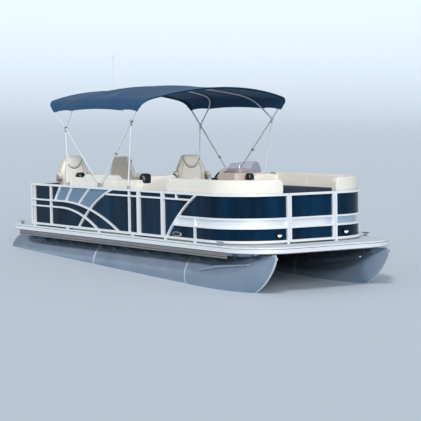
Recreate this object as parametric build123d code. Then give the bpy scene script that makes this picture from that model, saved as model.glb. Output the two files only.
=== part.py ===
"""Two-tube pontoon boat with a shade top, three gates and an outboard stored tilted up.

All lengths are in millimetres. While it is modelled, X runs forward from the stern fence,
Y to port from the centre line and Z up from the deck's top face. The finished boat is moved
so that its origin is the middle of its length and beam, at the keel line it stands on.
"""
from build123d import *
from math import atan2, degrees, hypot, sqrt
import os

# Hull
BEAM = 2590.0
COCKPIT_LENGTH = 5960.0
DECK_BEHIND_FENCE = 580.0
DECK_AHEAD_OF_FENCE = 470.0
DECK_FRONT_CORNER_R = 650.0
DECK_BACK_CORNER_R = 120.0
DECK_THICK = 22.0
TUBE_DIAMETER = 635.0
TUBE_SPACING = 1888.0
TUBE_DROP = 155.0
TUBE_BEHIND_DECK = 170.0
TUBE_CAP_R = 60.0
NOSE_LENGTH = 1750.0
NOSE_TIP_DROP = 92.0
NOSE_TIP_HALF = 14.0
WELD_BAND = 26.0
WELD_PROUD = 1.5
WELD_X = 2080.0
BRACKET_WIDTH = 60.0
KEEL_STRIP_WIDTH = 14.0
KEEL_STRIP_PROUD = 6.0
STRAKE_PROUD = 30.0
RISER_WIDTH = 110.0
TOW_EYE_R = 9.5
TOW_EYE_THICK = 12.0
TOW_EYE_PLATE_R = 24.0
TOW_EYE_DROP = 142.0
TOW_EYE_AHEAD = 14.0
MEMBER_DEPTH = 62.0
MEMBER_WIDTH = 64.0
MEMBER_WALL = 6.0
MEMBER_PITCH = 460.0
MEMBER_INSET = 111.0
TRIM_WALL = 9.0
TRIM_LIP = 4.0
SKIRT_DEPTH = 77.0
SKIRT_THICK = 14.0
SKIRT_RIBS = 3
SKIRT_AFT_X = -330.0

# Fence
FENCE_INSET = 83.0
RAIL = 32.0
STRIP = 24.0
FENCE_TOP = 670.0
FENCE_FOOT = 40.0
BOW_POST_STRAIGHT = 46.0
PANEL = 3.0
AFT_BAND_HIGH = 430.0
AFT_BAND_LOW = 330.0
BOW_BAND_HIGH = 348.0
BOW_BAND_LOW = 226.0
SUB_RAIL = 586.0
STERN_BAR_X = 90.0
FIRST_BAR_X = 650.0
SECOND_BAR_X = 3110.0
SIDE_GATE_AFT_X = 3380.0
SIDE_GATE_WIDTH = 670.0
DIVIDER_AFT_OF_CORNER = 780.0
BAND_BAR_AFT_OF_CORNER = 310.0
BOW_SWEEP_AFT_OF_CORNER = 1048.0
BOW_GATE_WIDTH = 772.0
STERN_GATE_WIDTH = 680.0
GATE_GAP = 8.0
HINGE_PIN_R = 5.0
HINGE_BARREL_R = 8.0
HINGE_STAND_OFF = 10.0
HINGE_HEIGHTS = (140.0, 540.0)
HINGE_KNUCKLE = 36.0
RUNNING_FIT = 0.05

# Outboard and the pod that carries it
POD_WIDTH = 600.0
POD_LENGTH = 1500.0
POD_DEPTH = 600.0
TRANSOM_THICK = 45.0
TRANSOM_BEHIND_DECK = 290.0
TRANSOM_TOP = -60.0
TILT_UP = 62.0
STEER_BEHIND_TRANSOM = 75.0
LEG_BEHIND_STEER = 125.0
KINGPIN_R = 16.0
TILT_PIN_R = 12.0
SWIVEL_LOW = -262.0
SWIVEL_HIGH = 28.0
SHAFT_R = 13.0
COWL_LENGTH = 560.0
COWL_WIDTH = 360.0
COWL_HEIGHT = 470.0
COWL_LOW = 110.0
GEARCASE_DROP = 800.0
PROPELLER_D = 330.0
PROPELLER_HUB_D = 90.0

# Seats and helm
LOUNGE_DEPTH = 555.0
BASE_HEIGHT = 310.0
SEAT_THICK = 120.0
BACK_THICK = 135.0
BACK_TOP = 888.0
ARM_TOP = 830.0
STERN_BACK_TOP = 740.0
CHAISE_THICK = 160.0
CHAISE_TOP = 872.0
RETURN_REACH = 125.0
AFT_LOUNGE_X = 1300.0
STERN_LOUNGE_X = 60.0
STERN_LOUNGE_LENGTH = 1190.0
SOFT_GAP = 0.3
CHAIR_SEAT = 560.0
CHAIR_BACK_TOP = 1125.0
CHAIR_WIDTH = 470.0
HELM_X = 2880.0
HELM_FROM_FENCE = 502.0
HELM_WIDTH = 590.0
HELM_LENGTH = 620.0
HELM_HEIGHT = 870.0
WHEEL_R = 175.0
WHEEL_RIM_R = 13.0
WHEEL_RAKE = 45.0
SCREEN_LENGTH = 380.0
SCREEN_HEIGHT = 175.0
SCREEN_THICK = 5.0

# Shade top
BOW_TUBE = 25.4
CANOPY_OVERHANG = 73.0
CANOPY_CROWN = 2215.0
CANOPY_HEM = 1850.0
CANOPY_THICK = 8.0
CANOPY_CORNER_R = 190.0
CANOPY_ARCH_RISE = 190.0
CANOPY_LENGTH_R = 26000.0
BIMINI_X = 2240.0
BIMINI_FOOT_SPREAD = 24.0
BIMINI_AFT_REACH = 1300.0
BIMINI_FWD_REACH = 1220.0
LIGHT_POLE = 530.0

# Cleats
CLEAT_BOW_INSET = 50.0
CLEAT_BOW_AFT_OF_FENCE = 400.0
CLEAT_STERN_INSET = 105.0
CLEAT_STERN_AHEAD = 160.0

HALF_BEAM = BEAM / 2
FENCE_Y = HALF_BEAM - FENCE_INSET
DECK_AFT = -DECK_BEHIND_FENCE
DECK_FWD = COCKPIT_LENGTH + DECK_AHEAD_OF_FENCE
TUBE_R = TUBE_DIAMETER / 2
TUBE_Y = TUBE_SPACING / 2
TUBE_Z = -TUBE_DROP - TUBE_R
TUBE_AFT = DECK_AFT - TUBE_BEHIND_DECK
KEEL_Z = -TUBE_DROP - TUBE_DIAMETER
MEMBER_TOP = -DECK_THICK
MEMBER_BOTTOM = MEMBER_TOP - MEMBER_DEPTH
TRIM_DEPTH = DECK_THICK + MEMBER_DEPTH
RAIL_TOP = FENCE_TOP + RAIL / 2
PANEL_Y = FENCE_Y - RAIL / 2
CANOPY_WIDTH = 2 * (FENCE_Y + CANOPY_OVERHANG)
CANOPY_MIDDLE = BIMINI_X + (BIMINI_FWD_REACH - BIMINI_AFT_REACH) / 2 - 50
SIDE_GATE_FWD_X = SIDE_GATE_AFT_X + SIDE_GATE_WIDTH
POST_SHIFT = (RAIL + GATE_GAP) / 2
FENCE_CORNER_R = FENCE_Y - BOW_GATE_WIDTH / 2 - POST_SHIFT - BOW_POST_STRAIGHT
CORNER_X = COCKPIT_LENGTH - FENCE_CORNER_R
CORNER_Y = FENCE_Y - FENCE_CORNER_R
DIVIDER_X = CORNER_X - DIVIDER_AFT_OF_CORNER
BAND_BAR_X = CORNER_X - BAND_BAR_AFT_OF_CORNER
BOW_SWEEP_X = CORNER_X - BOW_SWEEP_AFT_OF_CORNER
SEAT_TOP = BASE_HEIGHT + SEAT_THICK
SEAT_OUTER = PANEL_Y - PANEL - 8
TRANSOM_X = DECK_AFT - TRANSOM_BEHIND_DECK
TILT_X = TRANSOM_X + 20
TILT_Z = TRANSOM_TOP + 60
STEER_X = TRANSOM_X - STEER_BEHIND_TRANSOM
LEG_X = STEER_X - LEG_BEHIND_STEER
HINGE_IN = RAIL / 2 + PANEL + HINGE_STAND_OFF
CHAIR_SWIVEL = CHAIR_SEAT - 170
SWIVEL_GAP = 0.5
HELM_Y = FENCE_Y - HELM_FROM_FENCE
WHEEL_X = HELM_X - 130
WHEEL_Z = HELM_HEIGHT - 70


def block(x, y, z):
    """A box from its (low, high) pairs along X, Y and Z."""
    size = [high - low for low, high in (x, y, z)]
    centre = [(low + high) / 2 for low, high in (x, y, z)]
    return Pos(*centre) * Box(*size)


def flat(sketch, low, high):
    """A plan outline standing between two heights."""
    return Pos(0, 0, low) * extrude(sketch, high - low)


def upright(sketch, middle, thick):
    """An outline drawn in X and Z, given a thickness about Y = middle."""
    return Pos(0, middle, 0) * extrude(Plane.XZ * sketch, thick / 2, both=True)


def across(sketch, middle, thick):
    """An outline drawn in Y and Z, given a thickness about X = middle."""
    return Pos(middle, 0, 0) * extrude(Plane.YZ * sketch, thick / 2, both=True)


def rod(start, end, radius):
    """A round bar between two points."""
    axis = Vector(*end) - Vector(*start)
    return extrude(Plane(origin=start, z_dir=axis) * Circle(radius), axis.length)


def port_of(solid):
    """The same piece on the other side of the centre line."""
    return mirror(solid, about=Plane.XZ)


def both_sides(solid):
    """A piece and its mirror image, as two solids."""
    return [solid, port_of(solid)]


def bar(x1, z1, x2, z2, width):
    """A straight bar between two points of an outline."""
    turn = degrees(atan2(z2 - z1, x2 - x1))
    middle = Pos((x1 + x2) / 2, (z1 + z2) / 2)
    return middle * Rot(0, 0, turn) * Rectangle(hypot(x2 - x1, z2 - z1), width)


def bent_bar(start, middle, end, width):
    """A bar of constant width along the arc through three points."""
    arc = ThreePointArc(start, middle, end)
    inner = []
    outer = []
    for point in (start, middle, end):
        away = (Vector(*point) - arc.arc_center).normalized()
        inner.append(arc.arc_center + away * (arc.radius - width / 2))
        outer.append(arc.arc_center + away * (arc.radius + width / 2))
    return make_face([ThreePointArc(*inner), Line(inner[2], outer[2]),
                      ThreePointArc(*outer), Line(outer[0], inner[0])])


def corner_band(outer_y, thick, aft, low, high, front=None, start=0, end=90):
    """A wall that follows the starboard fence and turns with its bow corner.

    outer_y is its outer face's distance from the centre line. With aft given, it starts
    straight at that station, and with front given, it runs on across the bow until it is
    that far from the centre line. Without them it is the bend alone, from angle start to end.
    """
    radius = outer_y - CORNER_Y
    outer = CenterArc((0, 0), radius, start - 90, end - start)
    inner = CenterArc((0, 0), radius - thick, start - 90, end - start)
    face = make_face([outer, Line(outer @ 1, inner @ 1), inner, Line(inner @ 0, outer @ 0)])
    face = Pos(CORNER_X, -CORNER_Y) * face
    if aft is not None:
        length = CORNER_X - aft
        face += Pos(CORNER_X - length / 2, thick / 2 - outer_y) * Rectangle(length, thick)
    if front is not None:
        length = CORNER_Y - front
        face += Pos(CORNER_X + radius - thick / 2, -CORNER_Y + length / 2) * Rectangle(thick, length)
    return flat(face, low, high)


def deck_outline(shrink):
    """The deck's plan, drawn in from its outer edge by shrink."""
    body = Pos((DECK_AFT + DECK_FWD) / 2, 0) * Rectangle(DECK_FWD - DECK_AFT - 2 * shrink, BEAM - 2 * shrink)
    body = fillet(body.vertices().group_by(Axis.X)[-1], DECK_FRONT_CORNER_R - shrink)
    return fillet(body.vertices().group_by(Axis.X)[0], DECK_BACK_CORNER_R - shrink)


def nose_section(x, half_width, top, keel, fullness):
    """A section of the nose: a domed top, and two sides that bow out to a keel."""
    widest = top - min(half_width, (top - keel) / 2)
    side = Vector(half_width * fullness, keel + (widest - keel) * (1 - fullness))
    dome = ThreePointArc((-half_width, widest), (0, top), (half_width, widest))
    starboard = ThreePointArc((half_width, widest), side, (0, keel))
    port = ThreePointArc((0, keel), (-side.X, side.Y), (-half_width, widest))
    return Plane.YZ.offset(x) * make_face([dome, starboard, port])


# along the nose, share of the tube's half width, share of its depth, fullness of the sides
NOSE = [(0.00, 1.00, 1.00, sqrt(0.5)), (0.30, 0.97, 0.985, 0.72), (0.56, 0.80, 0.90, 0.70),
        (0.76, 0.55, 0.70, 0.66), (0.90, 0.29, 0.42, 0.60), (1.00, NOSE_TIP_HALF / TUBE_R, 0.06, 0.55)]
# a spray strake's stations: along the nose, height over the tube's centre line, depth, share of its reach
STRAKE = [(0.065, 60, 4, 0.1), (0.25, 112, 26, 0.8), (0.43, 164, 36, 1.0), (0.77, 229, 16, 1.0)]


def nose_top(along):
    """The height of the nose's upper edge."""
    return -TUBE_DROP + (TUBE_DROP - NOSE_TIP_DROP) * max(0, along - 0.5) * 2


def nose_half_width(along, z):
    """How far the nose's side stands from its middle, at a height on its rounded upper part."""
    ahead = next(index for index in range(1, len(NOSE)) if NOSE[index][0] >= along)
    (near, width1, _, _), (far, width2, _, _) = NOSE[ahead - 1], NOSE[ahead]
    half = TUBE_R * (width1 + (width2 - width1) * (along - near) / (far - near))
    return sqrt(half ** 2 - max(0, z - (nose_top(along) - half)) ** 2)


def keel_strip(nose_x):
    """The bead along the nose's cutwater, from the flat of the keel up to just under the tow eye."""
    line = Spline([(nose_x + along * NOSE_LENGTH, -TUBE_DROP - depth * TUBE_DIAMETER) for along, _, depth, _ in NOSE[1:]])
    outer = []
    inner = []
    for step in range(9):
        point = line @ (step / 8)
        tangent = line % (step / 8)
        away = Vector(tangent.Y, -tangent.X)
        outer.append(point + away * KEEL_STRIP_PROUD)
        inner.append(point - away * 3 * KEEL_STRIP_PROUD)
    end_z = -TOW_EYE_DROP - TOW_EYE_PLATE_R - 2
    tip = Vector(DECK_FWD + KEEL_STRIP_PROUD, end_z)
    root = Vector(DECK_FWD - 20, end_z)
    edge = make_face([Spline(outer), Line(outer[-1], tip), Line(tip, root), Line(root, inner[-1]), Spline(inner),
                      Line(inner[0], outer[0])])
    return upright(edge, 0, KEEL_STRIP_WIDTH)


def strakes(nose_x):
    """A spray strake on each side of the nose: a thin shelf that widens from its aft end."""
    lower = []
    upper = []
    outer = []
    inner = []
    for along, up, depth, share in STRAKE:
        x = nose_x + along * NOSE_LENGTH
        half = nose_half_width(along, TUBE_Z + up)
        lower.append((x, TUBE_Z + up))
        upper.append((x, TUBE_Z + up + depth))
        outer.append((x, half + share * STRAKE_PROUD))
        inner.append((x, half - 30))
    band = upright(make_face(Polyline(*lower, *reversed(upper), close=True)), 0, 2 * TUBE_DIAMETER)
    plan = flat(make_face(Polyline(*outer, *reversed(inner), close=True)), TUBE_Z, 0)
    return band & (plan + port_of(plan))


def tube(side):
    """One pontoon: a capped tube, a drawn-out nose, weld bands, spray strakes and bracketed risers."""
    nose_x = DECK_FWD - NOSE_LENGTH
    body = Pos((TUBE_AFT + nose_x) / 2, 0, TUBE_Z) * Rot(0, 90, 0) * Cylinder(TUBE_R, nose_x - TUBE_AFT)
    body = fillet(body.edges().group_by(Axis.X)[0], TUBE_CAP_R)
    faces = []
    for along, width, depth, fullness in NOSE:
        x = nose_x + along * NOSE_LENGTH
        keel = -TUBE_DROP - depth * TUBE_DIAMETER
        faces.append(nose_section(x, width * TUBE_R, nose_top(along), keel, fullness))
    body += loft(faces)
    body += keel_strip(nose_x)
    body += strakes(nose_x)
    for band_x in (WELD_X, nose_x):
        band = Circle(TUBE_R + WELD_PROUD) - Circle(TUBE_R - 20)
        body += Pos(0, 0, TUBE_Z) * across(band, band_x, WELD_BAND)
    riser_fwd = DECK_FWD - 480
    body += block((DECK_AFT + 40, riser_fwd), (-RISER_WIDTH / 2, RISER_WIDTH / 2), (-TUBE_DROP - 20, MEMBER_BOTTOM))
    foot = RISER_WIDTH / 2 + 12
    bracket = Polyline((-foot, -TUBE_DROP - 30), (foot, -TUBE_DROP - 30), (foot + 45, MEMBER_BOTTOM),
                       (-foot - 45, MEMBER_BOTTOM), close=True)
    for x in member_stations():
        if x < riser_fwd:
            body += across(make_face(bracket), x, BRACKET_WIDTH)
    eye = Pos(DECK_FWD + TOW_EYE_AHEAD, -TOW_EYE_DROP)
    plate = Circle(TOW_EYE_PLATE_R) + Pos(-30, 0) * Rectangle(60, 2 * TOW_EYE_PLATE_R)
    body += upright(eye * plate, 0, TOW_EYE_THICK)
    body -= upright(eye * Circle(TOW_EYE_R), 0, 4 * TOW_EYE_THICK)
    return Pos(0, side * TUBE_Y, 0) * body


def member_stations():
    """The stations of the cross members, evenly spread along the deck."""
    first = DECK_AFT + 100
    last = DECK_FWD - 410
    count = round((last - first) / MEMBER_PITCH) + 1
    return [first + index * (last - first) / (count - 1) for index in range(count)]


def cross_members():
    """Hat-section beams across both tubes, under the deck."""
    profile = Rectangle(MEMBER_WIDTH, MEMBER_DEPTH)
    profile -= Pos(0, -MEMBER_WALL) * Rectangle(MEMBER_WIDTH - 2 * MEMBER_WALL, MEMBER_DEPTH)
    profile += Pos(0, (MEMBER_WALL - MEMBER_DEPTH) / 2) * Rectangle(MEMBER_WIDTH + 40, MEMBER_WALL)
    beam = upright(Pos(0, MEMBER_TOP - MEMBER_DEPTH / 2) * profile, 0, BEAM - 2 * MEMBER_INSET)
    return [Pos(x, 0, 0) * beam for x in member_stations()]


def deck_trim():
    """The bright extrusion round the deck's edge, with a lip over the deck."""
    ring = flat(deck_outline(0), -TRIM_DEPTH, TRIM_LIP) - flat(deck_outline(TRIM_WALL), -TRIM_DEPTH, TRIM_LIP)
    groove = flat(deck_outline(0), -46, -40) - flat(deck_outline(4), -46, -40)
    return ring - groove


def side_skirts():
    """Ribbed panels that hang below the trim on both sides."""
    profile = Rectangle(SKIRT_THICK - 6, SKIRT_DEPTH)
    pitch = SKIRT_DEPTH / SKIRT_RIBS
    for index in range(SKIRT_RIBS):
        height = (index + 0.5) * pitch - SKIRT_DEPTH / 2
        profile += Pos(-3, height) * Rectangle(SKIRT_THICK, pitch * 0.55)
    length = DECK_FWD - DECK_FRONT_CORNER_R - SKIRT_AFT_X
    middle = SKIRT_AFT_X + length / 2
    skirt = across(Pos(-HALF_BEAM + SKIRT_THICK, -TRIM_DEPTH - SKIRT_DEPTH / 2) * profile, middle, length)
    return both_sides(skirt)


def motor_pod():
    """The box between the tubes that carries the outboard, with its thick transom."""
    pod_aft = TRANSOM_X + TRANSOM_THICK
    low = MEMBER_BOTTOM - POD_DEPTH
    outline = Polyline((pod_aft, MEMBER_BOTTOM), (pod_aft + POD_LENGTH, MEMBER_BOTTOM),
                       (pod_aft + POD_LENGTH - 60, MEMBER_BOTTOM - 90), (pod_aft + 420, low), (pod_aft, low),
                       close=True)
    body = upright(make_face(outline), 0, POD_WIDTH)
    body -= upright(Pos(pod_aft + 200, MEMBER_BOTTOM - 60) * Rectangle(320, 120.01), 0, POD_WIDTH - 12)
    body += block((TRANSOM_X, pod_aft), (-POD_WIDTH / 2, POD_WIDTH / 2), (low, TRANSOM_TOP))
    return body


def side_bars(aft, fwd):
    """The outline of the fence bars that lie in the side's plane, cut to a stretch of it."""
    top = FENCE_TOP
    foot = FENCE_FOOT
    bars = [
        # start X, start Z, end X, end Z, width
        (0, top, CORNER_X, top, RAIL),
        (0, foot, CORNER_X, foot, RAIL),
        (0, foot - RAIL / 2, 0, top + RAIL / 2, RAIL),
        (STERN_BAR_X, foot, STERN_BAR_X, top, STRIP),
        (FIRST_BAR_X, foot, FIRST_BAR_X, top, RAIL),
        (SECOND_BAR_X, foot, SECOND_BAR_X, top, STRIP),
        (SIDE_GATE_AFT_X - POST_SHIFT, foot - RAIL / 2, SIDE_GATE_AFT_X - POST_SHIFT, top + RAIL / 2, RAIL),
        (SIDE_GATE_FWD_X + POST_SHIFT, foot - RAIL / 2, SIDE_GATE_FWD_X + POST_SHIFT, top + RAIL / 2, RAIL),
        (0, AFT_BAND_HIGH, 1100, AFT_BAND_HIGH, STRIP),
        (0, AFT_BAND_LOW, 1000, AFT_BAND_LOW, STRIP),
        (988, top, 783, AFT_BAND_HIGH, STRIP),
        (1371, top, 1142, AFT_BAND_HIGH - 4, STRIP),
        (1942, top, 1564, AFT_BAND_HIGH - 24, STRIP),
        (2450, SUB_RAIL, BOW_SWEEP_X + 608, SUB_RAIL, STRIP),
        (DIVIDER_X, SUB_RAIL, DIVIDER_X, top, STRIP),
        (BOW_SWEEP_X + 338, BOW_BAND_HIGH, CORNER_X, BOW_BAND_HIGH, STRIP),
        (BOW_SWEEP_X + 188, BOW_BAND_LOW, CORNER_X, BOW_BAND_LOW, STRIP),
        (BAND_BAR_X, foot, BAND_BAR_X, BOW_BAND_HIGH, STRIP),
    ]
    arcs = [
        # start, middle and end of each curved bar
        ((1090, AFT_BAND_HIGH), (1980, AFT_BAND_HIGH - 107), (2800, foot)),
        ((990, AFT_BAND_LOW), (1600, AFT_BAND_LOW - 77), (2160, foot)),
        ((1555, foot), (1930, AFT_BAND_HIGH - 85), (2640, top)),
        ((BOW_SWEEP_X, foot), (BOW_SWEEP_X + 288, foot + 290), (BOW_SWEEP_X + 808, top)),
    ]
    outline = Sketch()
    for x1, z1, x2, z2, width in bars:
        if max(x1, x2) > aft and min(x1, x2) < fwd:
            outline += bar(x1, z1, x2, z2, width)
    for start, middle, end in arcs:
        if end[0] > aft and start[0] < fwd:
            outline += bent_bar(start, middle, end, STRIP)
    window = Pos((aft + fwd) / 2, (top + foot) / 2) * Rectangle(fwd - aft, top - foot + RAIL)
    return outline & window


def feet(stations, y):
    """Spacers that carry the bottom rail on the deck."""
    return [block((x - 25, x + 25), (y - RAIL / 2, y + RAIL / 2), (0, FENCE_FOOT - RAIL / 2)) for x in stations]


def bow_feet():
    """The stations of the fence's feet ahead of the side gate."""
    return SIDE_GATE_FWD_X + 70, CORNER_X - 300


def fence_side(aft, fwd, foot_stations):
    """A length of the starboard fence, up to the bow corner."""
    frame = upright(side_bars(aft, fwd), -FENCE_Y, RAIL)
    for foot in feet(foot_stations, -FENCE_Y):
        frame += foot
    return frame


def fence_corner():
    """The rails round the starboard bow corner, to the bow gate's post."""
    post_y = BOW_GATE_WIDTH / 2 + POST_SHIFT
    outer = FENCE_Y + RAIL / 2
    frame = block((COCKPIT_LENGTH - RAIL / 2, COCKPIT_LENGTH + RAIL / 2), (-post_y - RAIL / 2, -post_y + RAIL / 2),
                  (0, RAIL_TOP))
    for middle, width in ((FENCE_TOP, RAIL), (BOW_BAND_HIGH, STRIP), (BOW_BAND_LOW, STRIP), (FENCE_FOOT, RAIL)):
        frame += corner_band(outer, RAIL, None, middle - width / 2, middle + width / 2, front=post_y)
    return frame


def fence_frame_stbd_aft():
    """The starboard fence from the stern to the side gate."""
    frame = fence_side(-RAIL / 2, SIDE_GATE_AFT_X - GATE_GAP / 2, (STERN_BAR_X, 1200, 2200, 3200))
    return frame + place_side_gate(hinge_barrels(-1, True))


def fence_frame_stbd_bow():
    """The starboard fence from the side gate round to the bow gate."""
    return fence_side(SIDE_GATE_FWD_X + GATE_GAP / 2, CORNER_X, bow_feet()) + fence_corner()


def fence_frame_port():
    """The port fence, unbroken from the stern round to the bow gate."""
    frame = fence_side(-RAIL / 2, CORNER_X, (STERN_BAR_X, 1200, 2200, 3200) + bow_feet()) + fence_corner()
    return port_of(frame) + place_bow_gate(hinge_barrels(-1, True))


def stern_spans():
    """The Y spans of the stern fence, either side of its gate."""
    inner = STERN_GATE_WIDTH / 2 + GATE_GAP / 2
    outer = FENCE_Y - RAIL / 2
    return [(-outer, -inner), (inner, outer)]


def fence_frame_stern():
    """The stern fence, as one frame each side of the stern gate."""
    frames = []
    for low, high in stern_spans():
        middle = (low + high) / 2
        width = high - low
        outline = Pos(middle, FENCE_TOP) * Rectangle(width, RAIL)
        for height, thick in ((FENCE_FOOT, RAIL), (AFT_BAND_HIGH, STRIP), (AFT_BAND_LOW, STRIP)):
            outline += Pos(middle, height) * Rectangle(width, thick)
        gate_side = low + RAIL / 2 if low > 0 else high - RAIL / 2
        outline += Pos(gate_side, RAIL_TOP / 2) * Rectangle(RAIL, RAIL_TOP)
        frames.append(across(outline, 0, RAIL))
    frames[1] += place_stern_gate(hinge_barrels(-1, True))
    return frames


def side_panel(aft, fwd):
    """The sheet behind a straight stretch of the starboard fence."""
    return block((aft, fwd), (-PANEL_Y, PANEL - PANEL_Y), (FENCE_FOOT, FENCE_TOP))


def bow_panel():
    """The sheet behind the starboard fence from the side gate to the bow gate."""
    return corner_band(PANEL_Y, PANEL, SIDE_GATE_FWD_X + POST_SHIFT, FENCE_FOOT, FENCE_TOP,
                       front=BOW_GATE_WIDTH / 2 + POST_SHIFT)


def port_panel():
    """The sheet behind the whole port fence."""
    return port_of(corner_band(PANEL_Y, PANEL, RAIL / 2, FENCE_FOOT, FENCE_TOP,
                               front=BOW_GATE_WIDTH / 2 + POST_SHIFT))


def stern_panels():
    """The two sheets behind the stern fence."""
    sheets = []
    reach = PANEL_Y - PANEL - 2
    inner = STERN_GATE_WIDTH / 2 + POST_SHIFT
    for span in ((-reach, -inner), (inner, reach)):
        sheets.append(block((RAIL / 2, RAIL / 2 + PANEL), span, (FENCE_FOOT, FENCE_TOP)))
    return sheets


def hinge_barrels(side, bore):
    """Barrels on the hinge line X = 0, on leaves that reach to one side of it."""
    solid = None
    for height in HINGE_HEIGHTS:
        low = height if side > 0 else height - HINGE_KNUCKLE - 1
        x = sorted((0, side * (RAIL / 2 - 1)))
        leaf = block(x, (-PANEL - HINGE_STAND_OFF, 0), (low, low + HINGE_KNUCKLE))
        barrel = rod((0, 0, low), (0, 0, low + HINGE_KNUCKLE), HINGE_BARREL_R)
        knuckle = leaf + barrel
        solid = knuckle if solid is None else solid + knuckle
    for height in HINGE_HEIGHTS:
        low = height - HINGE_KNUCKLE - 2
        pin_r = HINGE_PIN_R + RUNNING_FIT if bore else HINGE_PIN_R
        pin = rod((0, 0, low), (0, 0, height + 2), pin_r)
        solid = solid - pin if bore else solid + pin
    return Pos(0, HINGE_IN, 0) * solid


def gate_frame(width, rails):
    """A gate's own frame in X and Z, from X = 0 at its hinge line, with its hinges inside."""
    low = FENCE_FOOT - RAIL / 2
    span = width - GATE_GAP
    outline = Pos(width / 2, (RAIL_TOP + low) / 2) * Rectangle(span, RAIL_TOP - low)
    outline -= Pos(width / 2, (RAIL_TOP + low) / 2) * Rectangle(span - 2 * RAIL, RAIL_TOP - low - 2 * RAIL)
    for height in rails:
        outline += Pos(width / 2, height) * Rectangle(span - RAIL, STRIP)
    return upright(outline, 0, RAIL) + hinge_barrels(1, False)


def gate_panel(width):
    """The sheet behind a gate's frame."""
    edge = GATE_GAP / 2 + RAIL / 2
    return block((edge, width - edge), (RAIL / 2, RAIL / 2 + PANEL), (FENCE_FOOT, FENCE_TOP))


def place_side_gate(solid):
    """Puts a piece of a gate in the starboard opening, hinged at its aft post."""
    return Pos(SIDE_GATE_AFT_X, -FENCE_Y, 0) * solid


def place_bow_gate(solid):
    """Puts a piece of a gate in the bow opening, hinged at its port post, sheet inside."""
    return Pos(COCKPIT_LENGTH, BOW_GATE_WIDTH / 2, 0) * Rot(0, 0, -90) * mirror(solid, about=Plane.XZ)


def place_stern_gate(solid):
    """Puts a piece of a gate in the stern opening, hinged at its port post, sheet inside."""
    return Pos(0, STERN_GATE_WIDTH / 2, 0) * Rot(0, 0, -90) * solid


def lounge_side():
    """The long starboard lounge: base, seat, and a back that turns inboard at its forward end."""
    aft = AFT_LOUNGE_X
    fwd = SIDE_GATE_AFT_X - 60
    outer = SEAT_OUTER
    inner = outer - LOUNGE_DEPTH
    end_y = inner - RETURN_REACH
    plan = Pos((aft + fwd) / 2, -(outer + inner + 25) / 2) * Rectangle(fwd - aft, outer - inner - 25)
    plan += Pos(fwd - CHAISE_THICK / 2, -(outer + end_y) / 2) * Rectangle(CHAISE_THICK, outer - end_y)
    toe = Pos((aft + fwd) / 2, -(outer + inner + 75) / 2) * Rectangle(fwd - aft - 60, outer - inner - 75)
    base = flat(plan, 60, BASE_HEIGHT) + flat(toe, 0, 60)
    seat = block((aft, fwd - CHAISE_THICK - 2), (-outer + BACK_THICK + 2, -inner), (BASE_HEIGHT + SOFT_GAP, SEAT_TOP))
    seat = fillet(seat.edges().filter_by(Axis.Z) + seat.edges().group_by(Axis.Z)[-1], 30)
    low = BASE_HEIGHT + SOFT_GAP
    side = Polyline((aft, low), (fwd, low), (fwd, ARM_TOP), (fwd - 490, ARM_TOP), (fwd - 540, BACK_TOP),
                    (aft + 230, BACK_TOP), (aft + 180, ARM_TOP), (aft, ARM_TOP), close=True)
    outline = fillet(make_face(side).vertices().filter_by_position(Axis.Y, ARM_TOP - 1, BACK_TOP + 1), 24)
    back = upright(outline, -outer + BACK_THICK / 2, BACK_THICK)
    turned = block((fwd - CHAISE_THICK, fwd), (-outer + BACK_THICK, -end_y), (low, BACK_TOP))
    turned = fillet(turned.edges().filter_by(Axis.X).group_by(Axis.Z)[-1], 60)
    return base, seat, back + turned


def lounge_stern():
    """The short stern lounge, with a back no higher than the rail."""
    aft = STERN_LOUNGE_X
    fwd = aft + STERN_LOUNGE_LENGTH
    outer = SEAT_OUTER
    inner = outer - LOUNGE_DEPTH
    low = BASE_HEIGHT + SOFT_GAP
    base = block((aft, fwd), (-outer, -inner - 25), (60, BASE_HEIGHT))
    base += block((aft + 30, fwd - 30), (-outer, -inner - 75), (0, 60))
    seat = block((aft, fwd), (-outer + BACK_THICK + 2, -inner), (low, SEAT_TOP))
    seat = fillet(seat.edges().filter_by(Axis.Z) + seat.edges().group_by(Axis.Z)[-1], 30)
    back = block((aft, fwd), (-outer, -outer + BACK_THICK), (low, STERN_BACK_TOP))
    return base, seat, fillet(back.edges().filter_by(Axis.Y).group_by(Axis.Z)[-1], 60)


def lounge_bow(aft):
    """A starboard bow lounge from a station round the corner to the bow gate, with a chaise back."""
    outer = SEAT_OUTER
    front = BOW_GATE_WIDTH / 2 + 45
    low = BASE_HEIGHT + SOFT_GAP
    base = corner_band(outer, LOUNGE_DEPTH - 25, aft, 60, BASE_HEIGHT, front=front)
    base += corner_band(outer, LOUNGE_DEPTH - 75, aft + 30, 0, 60)
    seat = corner_band(outer - BACK_THICK - 2, LOUNGE_DEPTH - BACK_THICK - 2, aft + CHAISE_THICK + 2, low,
                       SEAT_TOP, front=front)
    back = corner_band(outer, BACK_THICK, aft, low, BACK_TOP, front=front)
    ends = [back.edges().filter_by(Axis.Y).group_by(Axis.X)[0].sort_by(Axis.Z)[-1],
            back.edges().filter_by(Axis.X).group_by(Axis.Y)[-1].sort_by(Axis.Z)[-1]]
    back = fillet(ends, 90)
    chaise = block((aft, aft + CHAISE_THICK), (-outer + BACK_THICK - 5, -outer + LOUNGE_DEPTH), (low, CHAISE_TOP))
    chaise = fillet(chaise.edges().filter_by(Axis.X).group_by(Axis.Z)[-1].sort_by(Axis.Y)[-1], 90)
    return base, seat, back + chaise


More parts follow.
